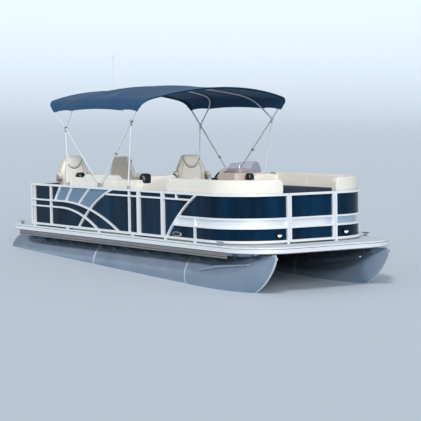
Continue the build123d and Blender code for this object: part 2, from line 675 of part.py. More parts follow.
def chair(x, y, turn):
    """A captain's chair: its fixed pedestal, its turning shell and its cushions."""
    place = Pos(x, y, 0) * Rot(0, 0, turn)
    pedestal = Cylinder(150, 12, align=(Align.CENTER, Align.CENTER, Align.MIN))
    pedestal += Cylinder(38, CHAIR_SWIVEL, align=(Align.CENTER, Align.CENTER, Align.MIN))
    half = CHAIR_WIDTH / 2
    low = CHAIR_SWIVEL + SWIVEL_GAP
    tray = low + 50
    shoulder = CHAIR_SEAT + 330
    shell = block((-150, 150), (-150, 150), (low, low + 30))
    pan = Pos(-5, 0) * Rectangle(440, CHAIR_WIDTH)
    pan = fillet(pan.vertices().group_by(Axis.X)[-1], 60)
    shell += flat(fillet(pan.vertices().group_by(Axis.X)[0], 90), low + 30, tray)
    front = Polyline((-half, low + 30), (half, low + 30), (half, shoulder), (half - 100, CHAIR_BACK_TOP - 12),
                     (100 - half, CHAIR_BACK_TOP - 12), (-half, shoulder), close=True)
    outline = make_face(front)
    outline = fillet(outline.vertices().group_by(Axis.Y)[-1], 50)
    lean = Polyline((-222, low + 30), (-174, low + 30), (-170, tray + 120), (-246, CHAIR_BACK_TOP),
                    (-268, CHAIR_BACK_TOP), (-226, tray + 120), close=True)
    shell += upright(make_face(lean), 0, CHAIR_WIDTH) & across(outline, -220, 300)
    for side in (-1, 1):
        arm_y = side * (half + 24)
        arm = upright(fillet((Pos(-50, CHAIR_SEAT + 212) * Rectangle(320, 46)).vertices(), 20), arm_y, 46)
        arm += block((-215, -175), (arm_y - 23, arm_y + 23), (CHAIR_SEAT + 120, CHAIR_SEAT + 212))
        shell += arm + block((-232, -196), sorted((side * (half - 5), arm_y)), (CHAIR_SEAT + 120, CHAIR_SEAT + 160))
    seat = block((-165, 240), (-half, half), (tray + SOFT_GAP, CHAIR_SEAT))
    seat = fillet(seat.edges().filter_by(Axis.Z), 60)
    back_low = tray + SOFT_GAP + 120
    foot_x = -170 + SOFT_GAP
    lean_cut = Polyline((foot_x, back_low), (foot_x + 92, back_low), (foot_x + 30, CHAIR_BACK_TOP),
                        (foot_x - 75, CHAIR_BACK_TOP), close=True)
    shape = Polyline((-half, back_low), (half, back_low), (half, shoulder), (half - 100, CHAIR_BACK_TOP),
                     (100 - half, CHAIR_BACK_TOP), (-half, shoulder), close=True)
    face = make_face(shape)
    face = fillet(face.vertices().group_by(Axis.Y)[-1], 60)
    back = upright(make_face(lean_cut), 0, CHAIR_WIDTH) & across(face, -170, 500)
    return place * pedestal, place * shell, [place * seat, place * back]


def helm_console():
    """The helm stand, with a raked dash and a level top, bored for the steering shaft."""
    aft = HELM_X
    fwd = HELM_X + HELM_LENGTH
    side = Polyline((aft + 40, 0), (fwd - 20, 0), (fwd, 300), (fwd, HELM_HEIGHT), (aft + 200, HELM_HEIGHT),
                    (aft, HELM_HEIGHT - 160), (aft, 600), close=True)
    body = upright(make_face(side), HELM_Y, HELM_WIDTH)
    body = fillet(body.edges().filter_by(Axis.Z).group_by(Axis.X)[-1], 60)
    return body - wheel_place() * Pos(0, 0, -150) * Cylinder(SHAFT_R + RUNNING_FIT, 160)


def steering_wheel():
    """The wheel: a rim, three spokes and a hub, on a raked shaft."""
    rim = Torus(WHEEL_R - WHEEL_RIM_R, WHEEL_RIM_R)
    hub = Cylinder(38, 26)
    wheel = rim + hub
    for index in range(3):
        spoke = Pos((WHEEL_R - 20) / 2, 0, 0) * Box(WHEEL_R - 30, 26, 9)
        wheel += Rot(0, 0, 30 + 120 * index) * spoke
    return wheel + Pos(0, 0, -110) * Cylinder(SHAFT_R, 220)


def wheel_place():
    """Where the wheel stands: its centre, and its axis raked back from level."""
    return Pos(WHEEL_X, HELM_Y, WHEEL_Z) * Rot(0, -WHEEL_RAKE, 0)


def windshield():
    """A tinted screen, bent round the front of the helm's top."""
    fwd = HELM_X + HELM_LENGTH - 18
    aft = fwd - SCREEN_LENGTH
    half = HELM_WIDTH / 2 - 45
    area = make_face(Polyline((aft, -half - 15), (fwd, -half + 30), (fwd, half - 30), (aft, half + 15), close=True))
    area = fillet(area.vertices().group_by(Axis.X)[-1], 60)
    wall = area - offset(area, -SCREEN_THICK)
    side = Polyline((aft + 10, HELM_HEIGHT), (fwd + 20, HELM_HEIGHT), (fwd + 20, HELM_HEIGHT + SCREEN_HEIGHT),
                    (fwd - 170, HELM_HEIGHT + SCREEN_HEIGHT), (aft + 10, HELM_HEIGHT + 45), close=True)
    front = Pos(0, HELM_HEIGHT) * Rectangle(2 * half + 30, 2 * SCREEN_HEIGHT)
    front = across(fillet(front.vertices().group_by(Axis.Y)[-1], 70), 0, 2 * HELM_LENGTH)
    screen = Pos(0, HELM_Y, 0) * (flat(wall, HELM_HEIGHT, HELM_HEIGHT + SCREEN_HEIGHT) & Pos(aft, 0, 0) * front)
    return screen & upright(make_face(side), HELM_Y, HELM_WIDTH)


def throttle():
    """The engine control: a round housing on the helm's inboard side and its lever."""
    y = HELM_Y - HELM_WIDTH / 2
    box = Pos(HELM_X + 150, y - 20, 640) * Rot(90, 0, 0) * Cylinder(55, 40)
    lever = Pos(HELM_X + 150, y - 55, 700) * Rot(90, 0, 0) * Box(22, 150, 30)
    knob = Pos(HELM_X + 150, y - 75, 775) * Rot(90, 0, 0) * Cylinder(22, 90)
    return box + lever + knob


def canopy_top(x):
    """The height of the canopy's outer face over the centre line at a station."""
    return CANOPY_CROWN - (CANOPY_LENGTH_R - sqrt(CANOPY_LENGTH_R ** 2 - (x - CANOPY_MIDDLE) ** 2))


def arch(half, crown, radius, hem):
    """The area under an arch: upright sides, round shoulders and a low crown."""
    shoulder = crown - CANOPY_ARCH_RISE
    face = make_face([Line((-half, hem), (half, hem)), Line((half, hem), (half, shoulder)),
                      ThreePointArc((half, shoulder), (0, crown), (-half, shoulder)),
                      Line((-half, shoulder), (-half, hem))])
    return fillet(face.vertices().group_by(Axis.Y)[-1], radius)


# station at the foot, station at the hem, bend radius, how far its crown is eased off the canopy
MAIN_BOWS = [(BIMINI_X - BIMINI_FOOT_SPREAD, BIMINI_X - BIMINI_AFT_REACH, 250, -4.7),
             (BIMINI_X + BIMINI_FOOT_SPREAD, BIMINI_X + BIMINI_FWD_REACH, 250, -4.7)]
# height of its jaw on the main bow, station at the hem, bend radius, easing
INNER_BOWS = [(1580, BIMINI_X - 749, 300, 4.3), (1680, BIMINI_X + 744, 350, 7.7)]
LEG_FEET = (BIMINI_X - 1000, BIMINI_X + 850)
BOW_FOOT = RAIL_TOP + 50
BOW_CLEAR = CANOPY_THICK + BOW_TUBE / 2 + SOFT_GAP
BOW_HALF = CANOPY_WIDTH / 2 - BOW_CLEAR
JAW_R = 23.0
LEG_SET_BACK = 44.0


def bow_y(z):
    """How far out a bow stands at a height: its sides flare from the feet to the shoulders."""
    shoulder = CANOPY_CROWN - CANOPY_ARCH_RISE
    return FENCE_Y + (BOW_HALF - FENCE_Y) * (z - BOW_FOOT) / (shoulder - BOW_FOOT)


def jaw(index):
    """Where a main bow carries its inner bow and its leg, in X, Y and Z on the port side."""
    foot_x, hem_x = MAIN_BOWS[index][:2]
    z = INNER_BOWS[index][0]
    return foot_x + (hem_x - foot_x) / (CANOPY_HEM - BOW_FOOT) * (z - BOW_FOOT), bow_y(z), z


def bow(x0, z0, hem_x, bend, ease, set_back):
    """A bow of the shade top: one bent tube in a plane that leans fore or aft.

    It starts at the station x0 and the height z0, further up the tube by set_back.
    """
    slope = (hem_x - x0) / (CANOPY_HEM - z0)
    stretch = hypot(1, slope)
    crown = canopy_top(x0 + slope * (CANOPY_CROWN - z0)) - BOW_CLEAR - ease
    radius = (CANOPY_WIDTH ** 2 / 4 + CANOPY_ARCH_RISE ** 2) / (2 * CANOPY_ARCH_RISE) - BOW_CLEAR
    shoulder = crown - radius + sqrt(radius ** 2 - BOW_HALF ** 2)
    start_y = bow_y(z0 + set_back / stretch)
    low = (BOW_HALF, (shoulder - z0) * stretch)
    sides = [Line((start_y, set_back), low), Line((-low[0], low[1]), (-start_y, set_back))]
    top = ThreePointArc(low, (0, (crown - z0) * stretch), (-low[0], low[1]))
    outline = Wire([sides[0], top, sides[1]])
    corners = outline.vertices().group_by(Axis.Y)[-1]
    leaning = Plane(origin=(x0, 0, z0), x_dir=(0, 1, 0), z_dir=(1, 0, -slope))
    path = leaning * fillet(corners, bend)
    return sweep(Plane(origin=path @ 0, z_dir=path % 0) * Circle(BOW_TUBE / 2), path=path)


def canopy():
    """The fabric top: one curved sheet, cut at the rear and front bows' planes."""
    half = CANOPY_WIDTH / 2
    section = arch(half, CANOPY_CROWN, CANOPY_CORNER_R, CANOPY_HEM)
    section -= arch(half - CANOPY_THICK, CANOPY_CROWN - CANOPY_THICK, CANOPY_CORNER_R - CANOPY_THICK,
                    CANOPY_HEM - 200)
    axis = Axis((CANOPY_MIDDLE, 0, CANOPY_CROWN - CANOPY_LENGTH_R), (0, 1, 0))
    sweep_half = degrees((BIMINI_AFT_REACH + 800) / CANOPY_LENGTH_R)
    sheet = revolve((Plane.YZ.offset(CANOPY_MIDDLE) * section).rotate(axis, -sweep_half), axis, 2 * sweep_half)
    reach = BOW_TUBE / 2 + 14
    low = CANOPY_HEM - 60
    high = CANOPY_CROWN + 60
    cut = []
    for (foot_x, hem_x, bend, ease), side in zip(MAIN_BOWS, (-1, 1)):
        slope = (hem_x - foot_x) / (CANOPY_HEM - BOW_FOOT)
        cut.append((foot_x + slope * (low - BOW_FOOT) + side * reach, low))
        cut.append((foot_x + slope * (high - BOW_FOOT) + side * reach, high))
    window = make_face(Polyline(cut[0], cut[1], cut[3], cut[2], close=True))
    return sheet & upright(window, 0, CANOPY_WIDTH + 200)


def main_bows():
    """The rear and front bows, which stand on the middle feet."""
    return [bow(foot_x, BOW_FOOT, hem_x, bend, ease, 0) for foot_x, hem_x, bend, ease in MAIN_BOWS]


def inner_bows():
    """The two inner bows, hinged to the main bows at their jaws."""
    bows = []
    for index, (height, hem_x, bend, ease) in enumerate(INNER_BOWS):
        bows.append(bow(jaw(index)[0], height, hem_x, bend, ease, BOW_TUBE + 1))
    return bows


def starboard_leg(index):
    """A straight leg from its foot on the rail to its jaw."""
    x, y, z = jaw(index)
    foot = Vector(LEG_FEET[index], -FENCE_Y, RAIL_TOP + 30)
    reach = Vector(x, -y, z) - foot
    return rod(foot, foot + reach * (1 - LEG_SET_BACK / reach.length), BOW_TUBE / 2)


def legs():
    """The four straight legs from the top rail to the jaws."""
    return both_sides(starboard_leg(0)) + both_sides(starboard_leg(1))


def fittings():
    """The rail mounts, and the jaws that join each inner bow and leg to a main bow."""
    tubes = main_bows() + inner_bows()
    solids = []
    for index, x in enumerate(LEG_FEET):
        foot = block((x - 26, x + 26), (-FENCE_Y - 16, -FENCE_Y + 16), (RAIL_TOP, RAIL_TOP + 12))
        foot += rod((x, -FENCE_Y, RAIL_TOP + 12), (x, -FENCE_Y, RAIL_TOP + 46), 19)
        solids += both_sides(foot - starboard_leg(index))
        jaw_x, jaw_y, jaw_z = jaw(index)
        hub = rod((jaw_x, -jaw_y - 17, jaw_z), (jaw_x, -jaw_y + 17, jaw_z), JAW_R)
        down = (Vector(x, -FENCE_Y, RAIL_TOP + 30) - Vector(jaw_x, -jaw_y, jaw_z)).normalized()
        hub += rod((jaw_x, -jaw_y, jaw_z), Vector(jaw_x, -jaw_y, jaw_z) + down * (LEG_SET_BACK + 24), 16)
        hub -= starboard_leg(index)
        for tube_solid in tubes:
            hub -= tube_solid
        solids += both_sides(hub)
    x = (MAIN_BOWS[0][0] + MAIN_BOWS[1][0]) / 2
    foot = block((x - 55, x + 55), (-FENCE_Y - 16, -FENCE_Y + 16), (RAIL_TOP, RAIL_TOP + 14))
    foot += block((x - 46, x + 46), (-FENCE_Y - 15, -FENCE_Y + 15), (RAIL_TOP + 14, BOW_FOOT + 16))
    for tube_solid in tubes[:2]:
        foot -= tube_solid
    return solids + both_sides(foot)


def cleats():
    """Four mooring cleats on the deck's corners."""
    solids = []
    for x, y in ((COCKPIT_LENGTH - CLEAT_BOW_AFT_OF_FENCE, HALF_BEAM - CLEAT_BOW_INSET),
                 (DECK_AFT + CLEAT_STERN_AHEAD, HALF_BEAM - CLEAT_STERN_INSET)):
        horn = Pos(x, -y, 48) * Rot(0, 90, 0) * Cylinder(8, 170)
        body = block((x - 35, x + 35), (-y - 14, -y + 14), (0, 8)) + block((x - 30, x - 14), (-y - 8, -y + 8), (8, 48))
        body += block((x + 14, x + 30), (-y - 8, -y + 8), (8, 48))
        solids += both_sides(body + horn)
    return solids


def docking_lights():
    """Two lamps low in the bow fence, either side of the gate."""
    face = COCKPIT_LENGTH + RAIL / 2
    y = BOW_GATE_WIDTH / 2 + 178
    body = block((face - 90, face - 6), (-y - 30, -y + 30), (100, 160))
    body += rod((face - 6, -y, 130), (face + 14, -y, 130), 33)
    behind = Pos(CORNER_X, -CORNER_Y) * Circle(PANEL_Y - CORNER_Y)
    return both_sides(body - flat(behind, 0, 300))


def light_pole():
    """The all-round light on its pole, on the canopy over the rear bow's crown."""
    foot_x, hem_x = MAIN_BOWS[0][:2]
    slope = (hem_x - foot_x) / (CANOPY_HEM - BOW_FOOT)
    x = foot_x + slope * (CANOPY_CROWN - 60 - BOW_FOOT)
    seat = canopy_top(x + 25) + SOFT_GAP
    pole = block((x - 25, x + 25), (-25, 25), (seat, seat + 12))
    pole += rod((x, 0, seat + 12), (x, 0, seat + LIGHT_POLE), 9)
    return pole + rod((x, 0, seat + LIGHT_POLE), (x, 0, seat + LIGHT_POLE + 55), 22)


def motor_leg():
    """The outboard's lower unit: yokes, midsection, plates, gearcase and skeg, running straight down."""
    shaft = GEARCASE_DROP
    body = block((LEG_X - 150, LEG_X + 110), (-105, 105), (COWL_LOW - 24, COWL_LOW))
    # height, front, back and half width of the leg
    rows = [(COWL_LOW - 24, 80, 130, 78), (-150, 66, 120, 58), (-shaft + 200, 60, 110, 42)]
    for (z1, front1, back1, half1), (z2, front2, back2, half2) in zip(rows, rows[1:]):
        upper = Pos(LEG_X + (front1 - back1) / 2, 0, z1) * Ellipse((front1 + back1) / 2, half1)
        lower = Pos(LEG_X + (front2 - back2) / 2, 0, z2) * Ellipse((front2 + back2) / 2, half2)
        body += loft([upper, lower])
    plate_z = -shaft + PROPELLER_D / 2 + 22
    plate = Ellipse(200, 92) & (Pos(20, 0) * Rectangle(340, 190))
    body += flat(Pos(LEG_X - 80, 0) * plate, plate_z, plate_z + 10)
    body += Pos(LEG_X - 30, 0, -shaft) * Rot(0, 90, 0) * Cylinder(52, 260)
    body += Pos(LEG_X + 100, 0, -shaft) * scale(Sphere(52), (1.8, 1, 1))
    fin = Polyline((LEG_X + 80, -shaft), (LEG_X - 150, -shaft), (LEG_X - 130, -shaft - 110),
                   (LEG_X - 90, -shaft - 205), (LEG_X - 40, -shaft - 205), close=True)
    body += upright(make_face(fin), 0, 14)
    strut = Polyline((LEG_X + 58, -shaft + 210), (LEG_X - 105, -shaft + 210), (LEG_X - 150, -shaft),
                     (LEG_X + 90, -shaft), close=True)
    body += upright(make_face(strut), 0, 40)
    for low, high in ((SWIVEL_HIGH + 1, SWIVEL_HIGH + 30), (SWIVEL_LOW - 30, SWIVEL_LOW - 1)):
        body += block((LEG_X, STEER_X + 22), (-30, 30), (low, high))
    body += rod((STEER_X, 0, SWIVEL_LOW - 2), (STEER_X, 0, SWIVEL_HIGH + 2), KINGPIN_R)
    return body - rod((LEG_X - 161, 0, -shaft), (LEG_X - 100, 0, -shaft), SHAFT_R + RUNNING_FIT)


def cowl():
    """The outboard's cowling: an oval shell that narrows to its top."""
    centre = LEG_X - 20
    low = COWL_LOW
    rows = [(low, 0.86, 0.84), (low + 110, 1.0, 1.0), (low + 330, 0.94, 0.92), (low + COWL_HEIGHT, 0.66, 0.6)]
    faces = []
    for z, along, wide in rows:
        faces.append(Pos(centre, 0, z) * Ellipse(COWL_LENGTH / 2 * along, COWL_WIDTH / 2 * wide))
    shell = loft(faces)
    return shell - block((LEG_X - 150, LEG_X + 110), (-105, 105), (low - 1, low + 340))


def engine_block():
    """The powerhead, as one plain block inside the cowling."""
    return block((LEG_X - 140, LEG_X + 100), (-95, 95), (COWL_LOW, COWL_LOW + 320))


def propeller():
    """A three-bladed propeller on its hub and shaft."""
    wheel = Rot(0, 90, 0) * Cylinder(PROPELLER_HUB_D / 2, 110)
    reach = PROPELLER_D / 2
    for index in range(3):
        blade = Pos(0, reach * 0.53, 0) * Rot(0, 60, 0) * extrude(Ellipse(62, reach * 0.46), 4, both=True)
        wheel += Rot(120 * index, 0, 0) * blade
    wheel += rod((50, 0, 0), (110, 0, 0), SHAFT_R)
    return Pos(LEG_X - 160 - 61, 0, -GEARCASE_DROP) * wheel


def swivel_bracket():
    """The bracket that tilts on the transom's pin and holds the steering tube."""
    arm = block((STEER_X, TILT_X), (-60, 60), (TILT_Z - 22, TILT_Z + 22))
    arm += rod((TILT_X, -60, TILT_Z), (TILT_X, 60, TILT_Z), 28)
    arm += rod((STEER_X, 0, SWIVEL_LOW), (STEER_X, 0, SWIVEL_HIGH), 36)
    arm -= rod((STEER_X, 0, SWIVEL_LOW - 5), (STEER_X, 0, SWIVEL_HIGH + 5), KINGPIN_R + RUNNING_FIT)
    return arm - rod((TILT_X, -70, TILT_Z), (TILT_X, 70, TILT_Z), TILT_PIN_R + RUNNING_FIT)


def clamp_bracket():
    """The two cheeks bolted to the transom, and the tilt pin between them."""
    solid = rod((TILT_X, -112, TILT_Z), (TILT_X, 112, TILT_Z), TILT_PIN_R)
    for side in (-1, 1):
        y = sorted((side * 66, side * 100))
        solid += block((TRANSOM_X - 26, TRANSOM_X), y, (TRANSOM_TOP - 330, TILT_Z + 36))
        solid += block((TRANSOM_X, TRANSOM_X + TRANSOM_THICK + 30), y, (TRANSOM_TOP, TILT_Z + 36))
    return solid


def tilted(solid):
    """Turns a piece of the outboard from running straight down to its stored tilt."""
    return solid.rotate(Axis((TILT_X, 0, TILT_Z), (0, 1, 0)), TILT_UP)


CHAIRS = [
    # name, X, Y, heading in degrees from the bow, positive to port
    ("helm", 1830, HELM_Y, -25),
    ("companion", 1560, -240, 100),
    ("aft", 500, -680, -18),
]


def build():
    """Every node's solids, by name."""
    nodes = {}
    nodes["tube_stbd"] = tube(-1)
    nodes["tube_port"] = tube(1)
    nodes["cross_members"] = cross_members()
    nodes["deck"] = flat(deck_outline(TRIM_WALL), -DECK_THICK, 0)
    nodes["deck_trim"] = deck_trim()
    nodes["side_skirts"] = side_skirts()
    nodes["motor_pod"] = motor_pod()
    nodes["fence_frame_stbd_aft"] = fence_frame_stbd_aft()
    nodes["fence_frame_stbd_bow"] = fence_frame_stbd_bow()
    nodes["fence_frame_port"] = fence_frame_port()
    nodes["fence_frame_stern"] = fence_frame_stern()
    sheets = [side_panel(RAIL / 2, SIDE_GATE_AFT_X - POST_SHIFT), bow_panel(), port_panel()]
    nodes["fence_panels"] = sheets + stern_panels()
    gates = [("side_gate", SIDE_GATE_WIDTH, place_side_gate, (SUB_RAIL,)),
             ("bow_gate", BOW_GATE_WIDTH, place_bow_gate, (BOW_BAND_HIGH, BOW_BAND_LOW)),
             ("stern_gate", STERN_GATE_WIDTH, place_stern_gate, (AFT_BAND_HIGH, AFT_BAND_LOW))]
    for name, width, place, rails in gates:
        nodes[name + "_frame"] = place(gate_frame(width, rails))
        nodes[name + "_panel"] = place(gate_panel(width))
    lounges = [("stbd_bow", lounge_bow(SIDE_GATE_FWD_X + 20)), ("stbd_aft", lounge_side()),
               ("port_bow", [port_of(solid) for solid in lounge_bow(HELM_X + HELM_LENGTH + 20)]),
               ("port_aft", [port_of(solid) for solid in lounge_stern()])]
    nodes["lounge_bases"] = [base for _, (base, _, _) in lounges]
    for name, (_, seat, back) in lounges:
        nodes["lounge_seat_" + name] = seat
        nodes["lounge_back_" + name] = back
    pedestals = []
    for name, x, y, turn in CHAIRS:
        pedestal, shell, cushions = chair(x, y, turn)
        pedestals.append(pedestal)
        nodes["chair_" + name + "_shell"] = shell
        nodes["chair_" + name + "_cushions"] = cushions
    nodes["chair_pedestals"] = pedestals
    nodes["helm_console"] = helm_console()
    nodes["steering_wheel"] = wheel_place() * steering_wheel()
    nodes["windshield"] = windshield()
    nodes["throttle"] = throttle()
    nodes["bimini_main_bows"] = main_bows()
    nodes["bimini_inner_bows"] = inner_bows()
    nodes["bimini_legs"] = legs()
    nodes["bimini_fittings"] = fittings()
    nodes["bimini_canopy"] = canopy()
    nodes["light_pole"] = light_pole()
    nodes["docking_lights"] = docking_lights()
    nodes["cleats"] = cleats()
    nodes["outboard_clamp"] = clamp_bracket()
    nodes["outboard_swivel"] = tilted(swivel_bracket())
    nodes["outboard_leg"] = tilted(motor_leg())
    nodes["outboard_cowl"] = tilted(cowl())
    nodes["outboard_engine"] = tilted(engine_block())
    nodes["outboard_propeller"] = tilted(propeller())
    return nodes


def as_shape(solids):
    """One solid as it is, or several as one compound."""
    return Compound(children=list(solids)) if isinstance(solids, list) else solids


def main():
    nodes = {name: as_shape(solids) for name, solids in build().items()}
    extents = [shape.bounding_box() for shape in nodes.values()]
    aft = min(box.min.X for box in extents)
    fwd = max(box.max.X for box in extents)
    low = min(box.min.Z for box in extents)
    shift = Pos(-(aft + fwd) / 2, 0, -low)
    print("origin station", (aft + fwd) / 2, "deck height", -low)
    os.makedirs("parts", exist_ok=True)
    for name, shape in nodes.items():
        export_step(shift * shape, "parts/" + name + ".step")


main()
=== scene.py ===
"""The pontoon boat's finishes, soft goods and small fittings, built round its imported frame."""
import math

import bmesh
import bpy
from mathutils import Matrix, Vector


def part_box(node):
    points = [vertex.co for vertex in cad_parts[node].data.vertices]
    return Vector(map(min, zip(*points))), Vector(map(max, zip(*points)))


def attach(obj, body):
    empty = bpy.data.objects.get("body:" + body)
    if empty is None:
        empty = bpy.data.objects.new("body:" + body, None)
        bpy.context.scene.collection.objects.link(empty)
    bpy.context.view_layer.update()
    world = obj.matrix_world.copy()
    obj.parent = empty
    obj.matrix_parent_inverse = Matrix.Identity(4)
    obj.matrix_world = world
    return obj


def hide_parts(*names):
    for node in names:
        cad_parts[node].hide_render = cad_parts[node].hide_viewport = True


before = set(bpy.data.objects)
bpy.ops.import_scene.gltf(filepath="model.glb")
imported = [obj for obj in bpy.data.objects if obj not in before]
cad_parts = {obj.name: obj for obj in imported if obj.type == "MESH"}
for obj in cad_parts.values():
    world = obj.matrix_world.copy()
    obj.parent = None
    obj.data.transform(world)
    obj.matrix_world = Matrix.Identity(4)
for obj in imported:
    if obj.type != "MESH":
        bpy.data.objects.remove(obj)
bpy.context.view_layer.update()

# Where things are. The boat is measured as it is built: stations run forward from the stern
# fence, the second number is the distance to port and the third the height over the deck.
deck_low, deck_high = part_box("deck")
DECK_TRIM_WALL = 0.009
DECK_BEHIND_FENCE = 0.580
STERN_FENCE = deck_low.x + DECK_BEHIND_FENCE - DECK_TRIM_WALL
DECK_TOP = deck_high.z


def at(station, port, height):
    """A point of the shared frame from a place on the boat."""
    return Vector((STERN_FENCE + station, port, DECK_TOP + height))


# The view: a long lens 27 m off the starboard bow, a little above the fence, held a little
# askew. Its yaw is counted in degrees from the port beam round towards the stern.
VIEW_YAW, VIEW_PITCH, VIEW_ROLL = (math.radians(angle) for angle in (56.9, -3.43, -0.82))
VIEW_FROM = (24.0, -13.41, 1.80)
FOCAL_PIXELS = 1650
FRAME_PIXELS = 421
SENSOR = 36
ahead = Vector((-math.sin(VIEW_YAW) * math.cos(VIEW_PITCH), math.cos(VIEW_YAW) * math.cos(VIEW_PITCH),
                math.sin(VIEW_PITCH)))
level = ahead.cross(Vector((0, 0, 1))).normalized()
upward = level.cross(ahead)
right = math.cos(VIEW_ROLL) * level + math.sin(VIEW_ROLL) * upward
top = -math.sin(VIEW_ROLL) * level + math.cos(VIEW_ROLL) * upward
scene = bpy.context.scene


def put(name, data):
    """Adds an object to the scene."""
    made = bpy.data.objects.new(name, data)
    scene.collection.objects.link(made)
    return made


lens = bpy.data.cameras.new("view")
lens.sensor_width = SENSOR
lens.lens = SENSOR * FOCAL_PIXELS / FRAME_PIXELS
lens.clip_end = 400
camera = put("view", lens)
camera.matrix_world = Matrix.Translation(at(*VIEW_FROM)) @ Matrix((right, top, -ahead)).transposed().to_4x4()
scene.camera = camera


# The studio: a pale floor at the boat's waterline, which rises 36 mm in each metre towards the
# stern because she floats bow up, and turns up far off into a pale surround.
FLOOR_PALE = "#ced8e0"
WATERLINE_AT_STERN_FENCE = -0.409
WATERLINE_RISE_AFT = 0.0361
FLOOR_RADIUS = 52
# radius and height of each ring that the surround turns up through
SURROUND = ((57, 0.4), (61, 1.4), (64, 3.0), (66, 5.0), (67, 7.2), (67.5, 9.8))
SKY_PALE = "#e6eefa"
SKY_STRENGTH = 0.50
# name, power, direction that the light comes from, softness in degrees
SUNS = (("key", 1.2, (0.75, -0.75, 1.0), 10), ("fill", 1.95, (1.0, -0.52, 0.26), 35))


def linear(hex_code):
    """A written sRGB colour as the linear values that a shader takes."""
    channels = [int(hex_code[start:start + 2], 16) / 255 for start in (1, 3, 5)]
    return [c / 12.92 if c <= 0.04045 else ((c + 0.055) / 1.055) ** 2.4 for c in channels] + [1.0]


def add(tree, kind, inputs=None, **settings):
    """Adds a node. Each input is a value, a written colour, an output or a node that it is linked to."""
    made = tree.nodes.new("ShaderNode" + kind)
    for name, value in settings.items():
        setattr(made, name, value)
    for socket, value in (inputs or {}).items():
        if isinstance(value, bpy.types.Node):
            value = next(output for output in value.outputs if output.enabled)
        if isinstance(value, bpy.types.NodeSocket):
            tree.links.new(value, made.inputs[socket])
        else:
            made.inputs[socket].default_value = linear(value) if isinstance(value, str) else value
    return made


def finish_named(name, own_map=None):
    """An empty material, its node tree and the place that its patterns are laid over.

    The place is the piece's own, or a spot of its own flat map where that is named.
    """
    material = bpy.data.materials.new(name)
    material.use_nodes = True
    tree = material.node_tree
    tree.nodes.clear()
    if own_map:
        return material, tree, add(tree, "UVMap", uv_map=own_map)
    return material, tree, add(tree, "TexCoord").outputs["Object"]


def surface(tree, inputs):
    """Sets the shader with its inputs as the material's surface."""
    add(tree, "OutputMaterial", {"Surface": add(tree, "BsdfPrincipled", inputs)})


def turn_out(form):
    """Turns the faces of a form outwards."""
    bmesh.ops.recalc_face_normals(form, faces=form.faces)


def edges_grown(form, edges):
    """Extrudes a line of edges, and gives the new edges and the new points."""
    grown = bmesh.ops.extrude_edge_only(form, edges=edges)["geom"]
    return ([item for item in grown if isinstance(item, bmesh.types.BMEdge)],
            [item for item in grown if isinstance(item, bmesh.types.BMVert)])


def mesh_of(form, name):
    """The mesh of a form, which is closed."""
    mesh = bpy.data.meshes.new(name)
    form.to_mesh(mesh)
    form.free()
    return mesh


floor_finish, tree, place = finish_named("matt_studio_floor")
surface(tree, {"Base Color": FLOOR_PALE, "Roughness": 0.85, "Specular IOR Level": 0.2})
form = bmesh.new()
bmesh.ops.create_circle(form, segments=128, radius=FLOOR_RADIUS, cap_ends=True)
rim = form.edges[:]
for radius, height in SURROUND:
    rim, corners = edges_grown(form, rim)
    for corner in corners:
        corner.co = corner.co.xy.normalized().to_3d() * radius + Vector((0, 0, height))
turn_out(form)
floor_mesh = mesh_of(form, "floor")
floor_mesh.transform(Matrix.Translation(at(0, 0, WATERLINE_AT_STERN_FENCE))
                     @ Matrix.Rotation(math.atan(WATERLINE_RISE_AFT), 4, "Y"))
floor_mesh.shade_smooth()
floor_mesh.materials.append(floor_finish)
put("floor", floor_mesh)

world = bpy.data.worlds.new("studio")
world.use_nodes = True
world.node_tree.nodes.clear()
sky = add(world.node_tree, "Background", {"Color": SKY_PALE, "Strength": SKY_STRENGTH})
add(world.node_tree, "OutputWorld", {"Surface": sky})
scene.world = world
scene.view_settings.view_transform = "Standard"

for name, power, source, softness in SUNS:
    lamp = bpy.data.lights.new(name, "SUN")
    lamp.energy = power
    lamp.angle = math.radians(softness)
    put(name, lamp).rotation_euler = Vector(source).to_track_quat("Z", "Y").to_euler()


# Pontoons: rolled 2.5 mm sheet of mill-finish marine aluminium, welded round at each joint.
# The sheet keeps fine rolling lines along its length, a soft grey haze and shallow dents. The
# weld bands and the bead along each nose's cutwater are ground bright.
TUBE_GREY = "#b4c3d2"
TUBE_HAZE = "#8f9fb0"
WELD_BRIGHT = "#f2f5f8"
WELD_STATIONS = (2.080, 4.680)
WELD_HALF = 0.013
TUBE_FROM_CENTRE = 0.944
BEAD_HALF = 0.010


def dress(material, *nodes):
    """Gives CAD nodes their material."""
    for node in nodes:
        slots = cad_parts[node].data.materials
        slots.clear()
        slots.append(material)


def streaks(tree, place, stretch, detail, turned=0.0, **more):
    """Noise drawn out along a direction, by a scale for each axis."""
    spot = add(tree, "Mapping", {"Vector": place, "Rotation": (0, 0, turned), "Scale": stretch})
    return add(tree, "TexNoise", {"Vector": spot, "Scale": 1.0, "Detail": detail, **more})


def drift(tree, place, scale, detail, first, second, **more):
    """One colour or pattern that turns softly into another from place to place."""
    cloud = add(tree, "TexNoise", {"Vector": place, "Scale": scale, "Detail": detail, **more})
    return add(tree, "Mix", {0: cloud, 6: first, 7: second}, data_type="RGBA")


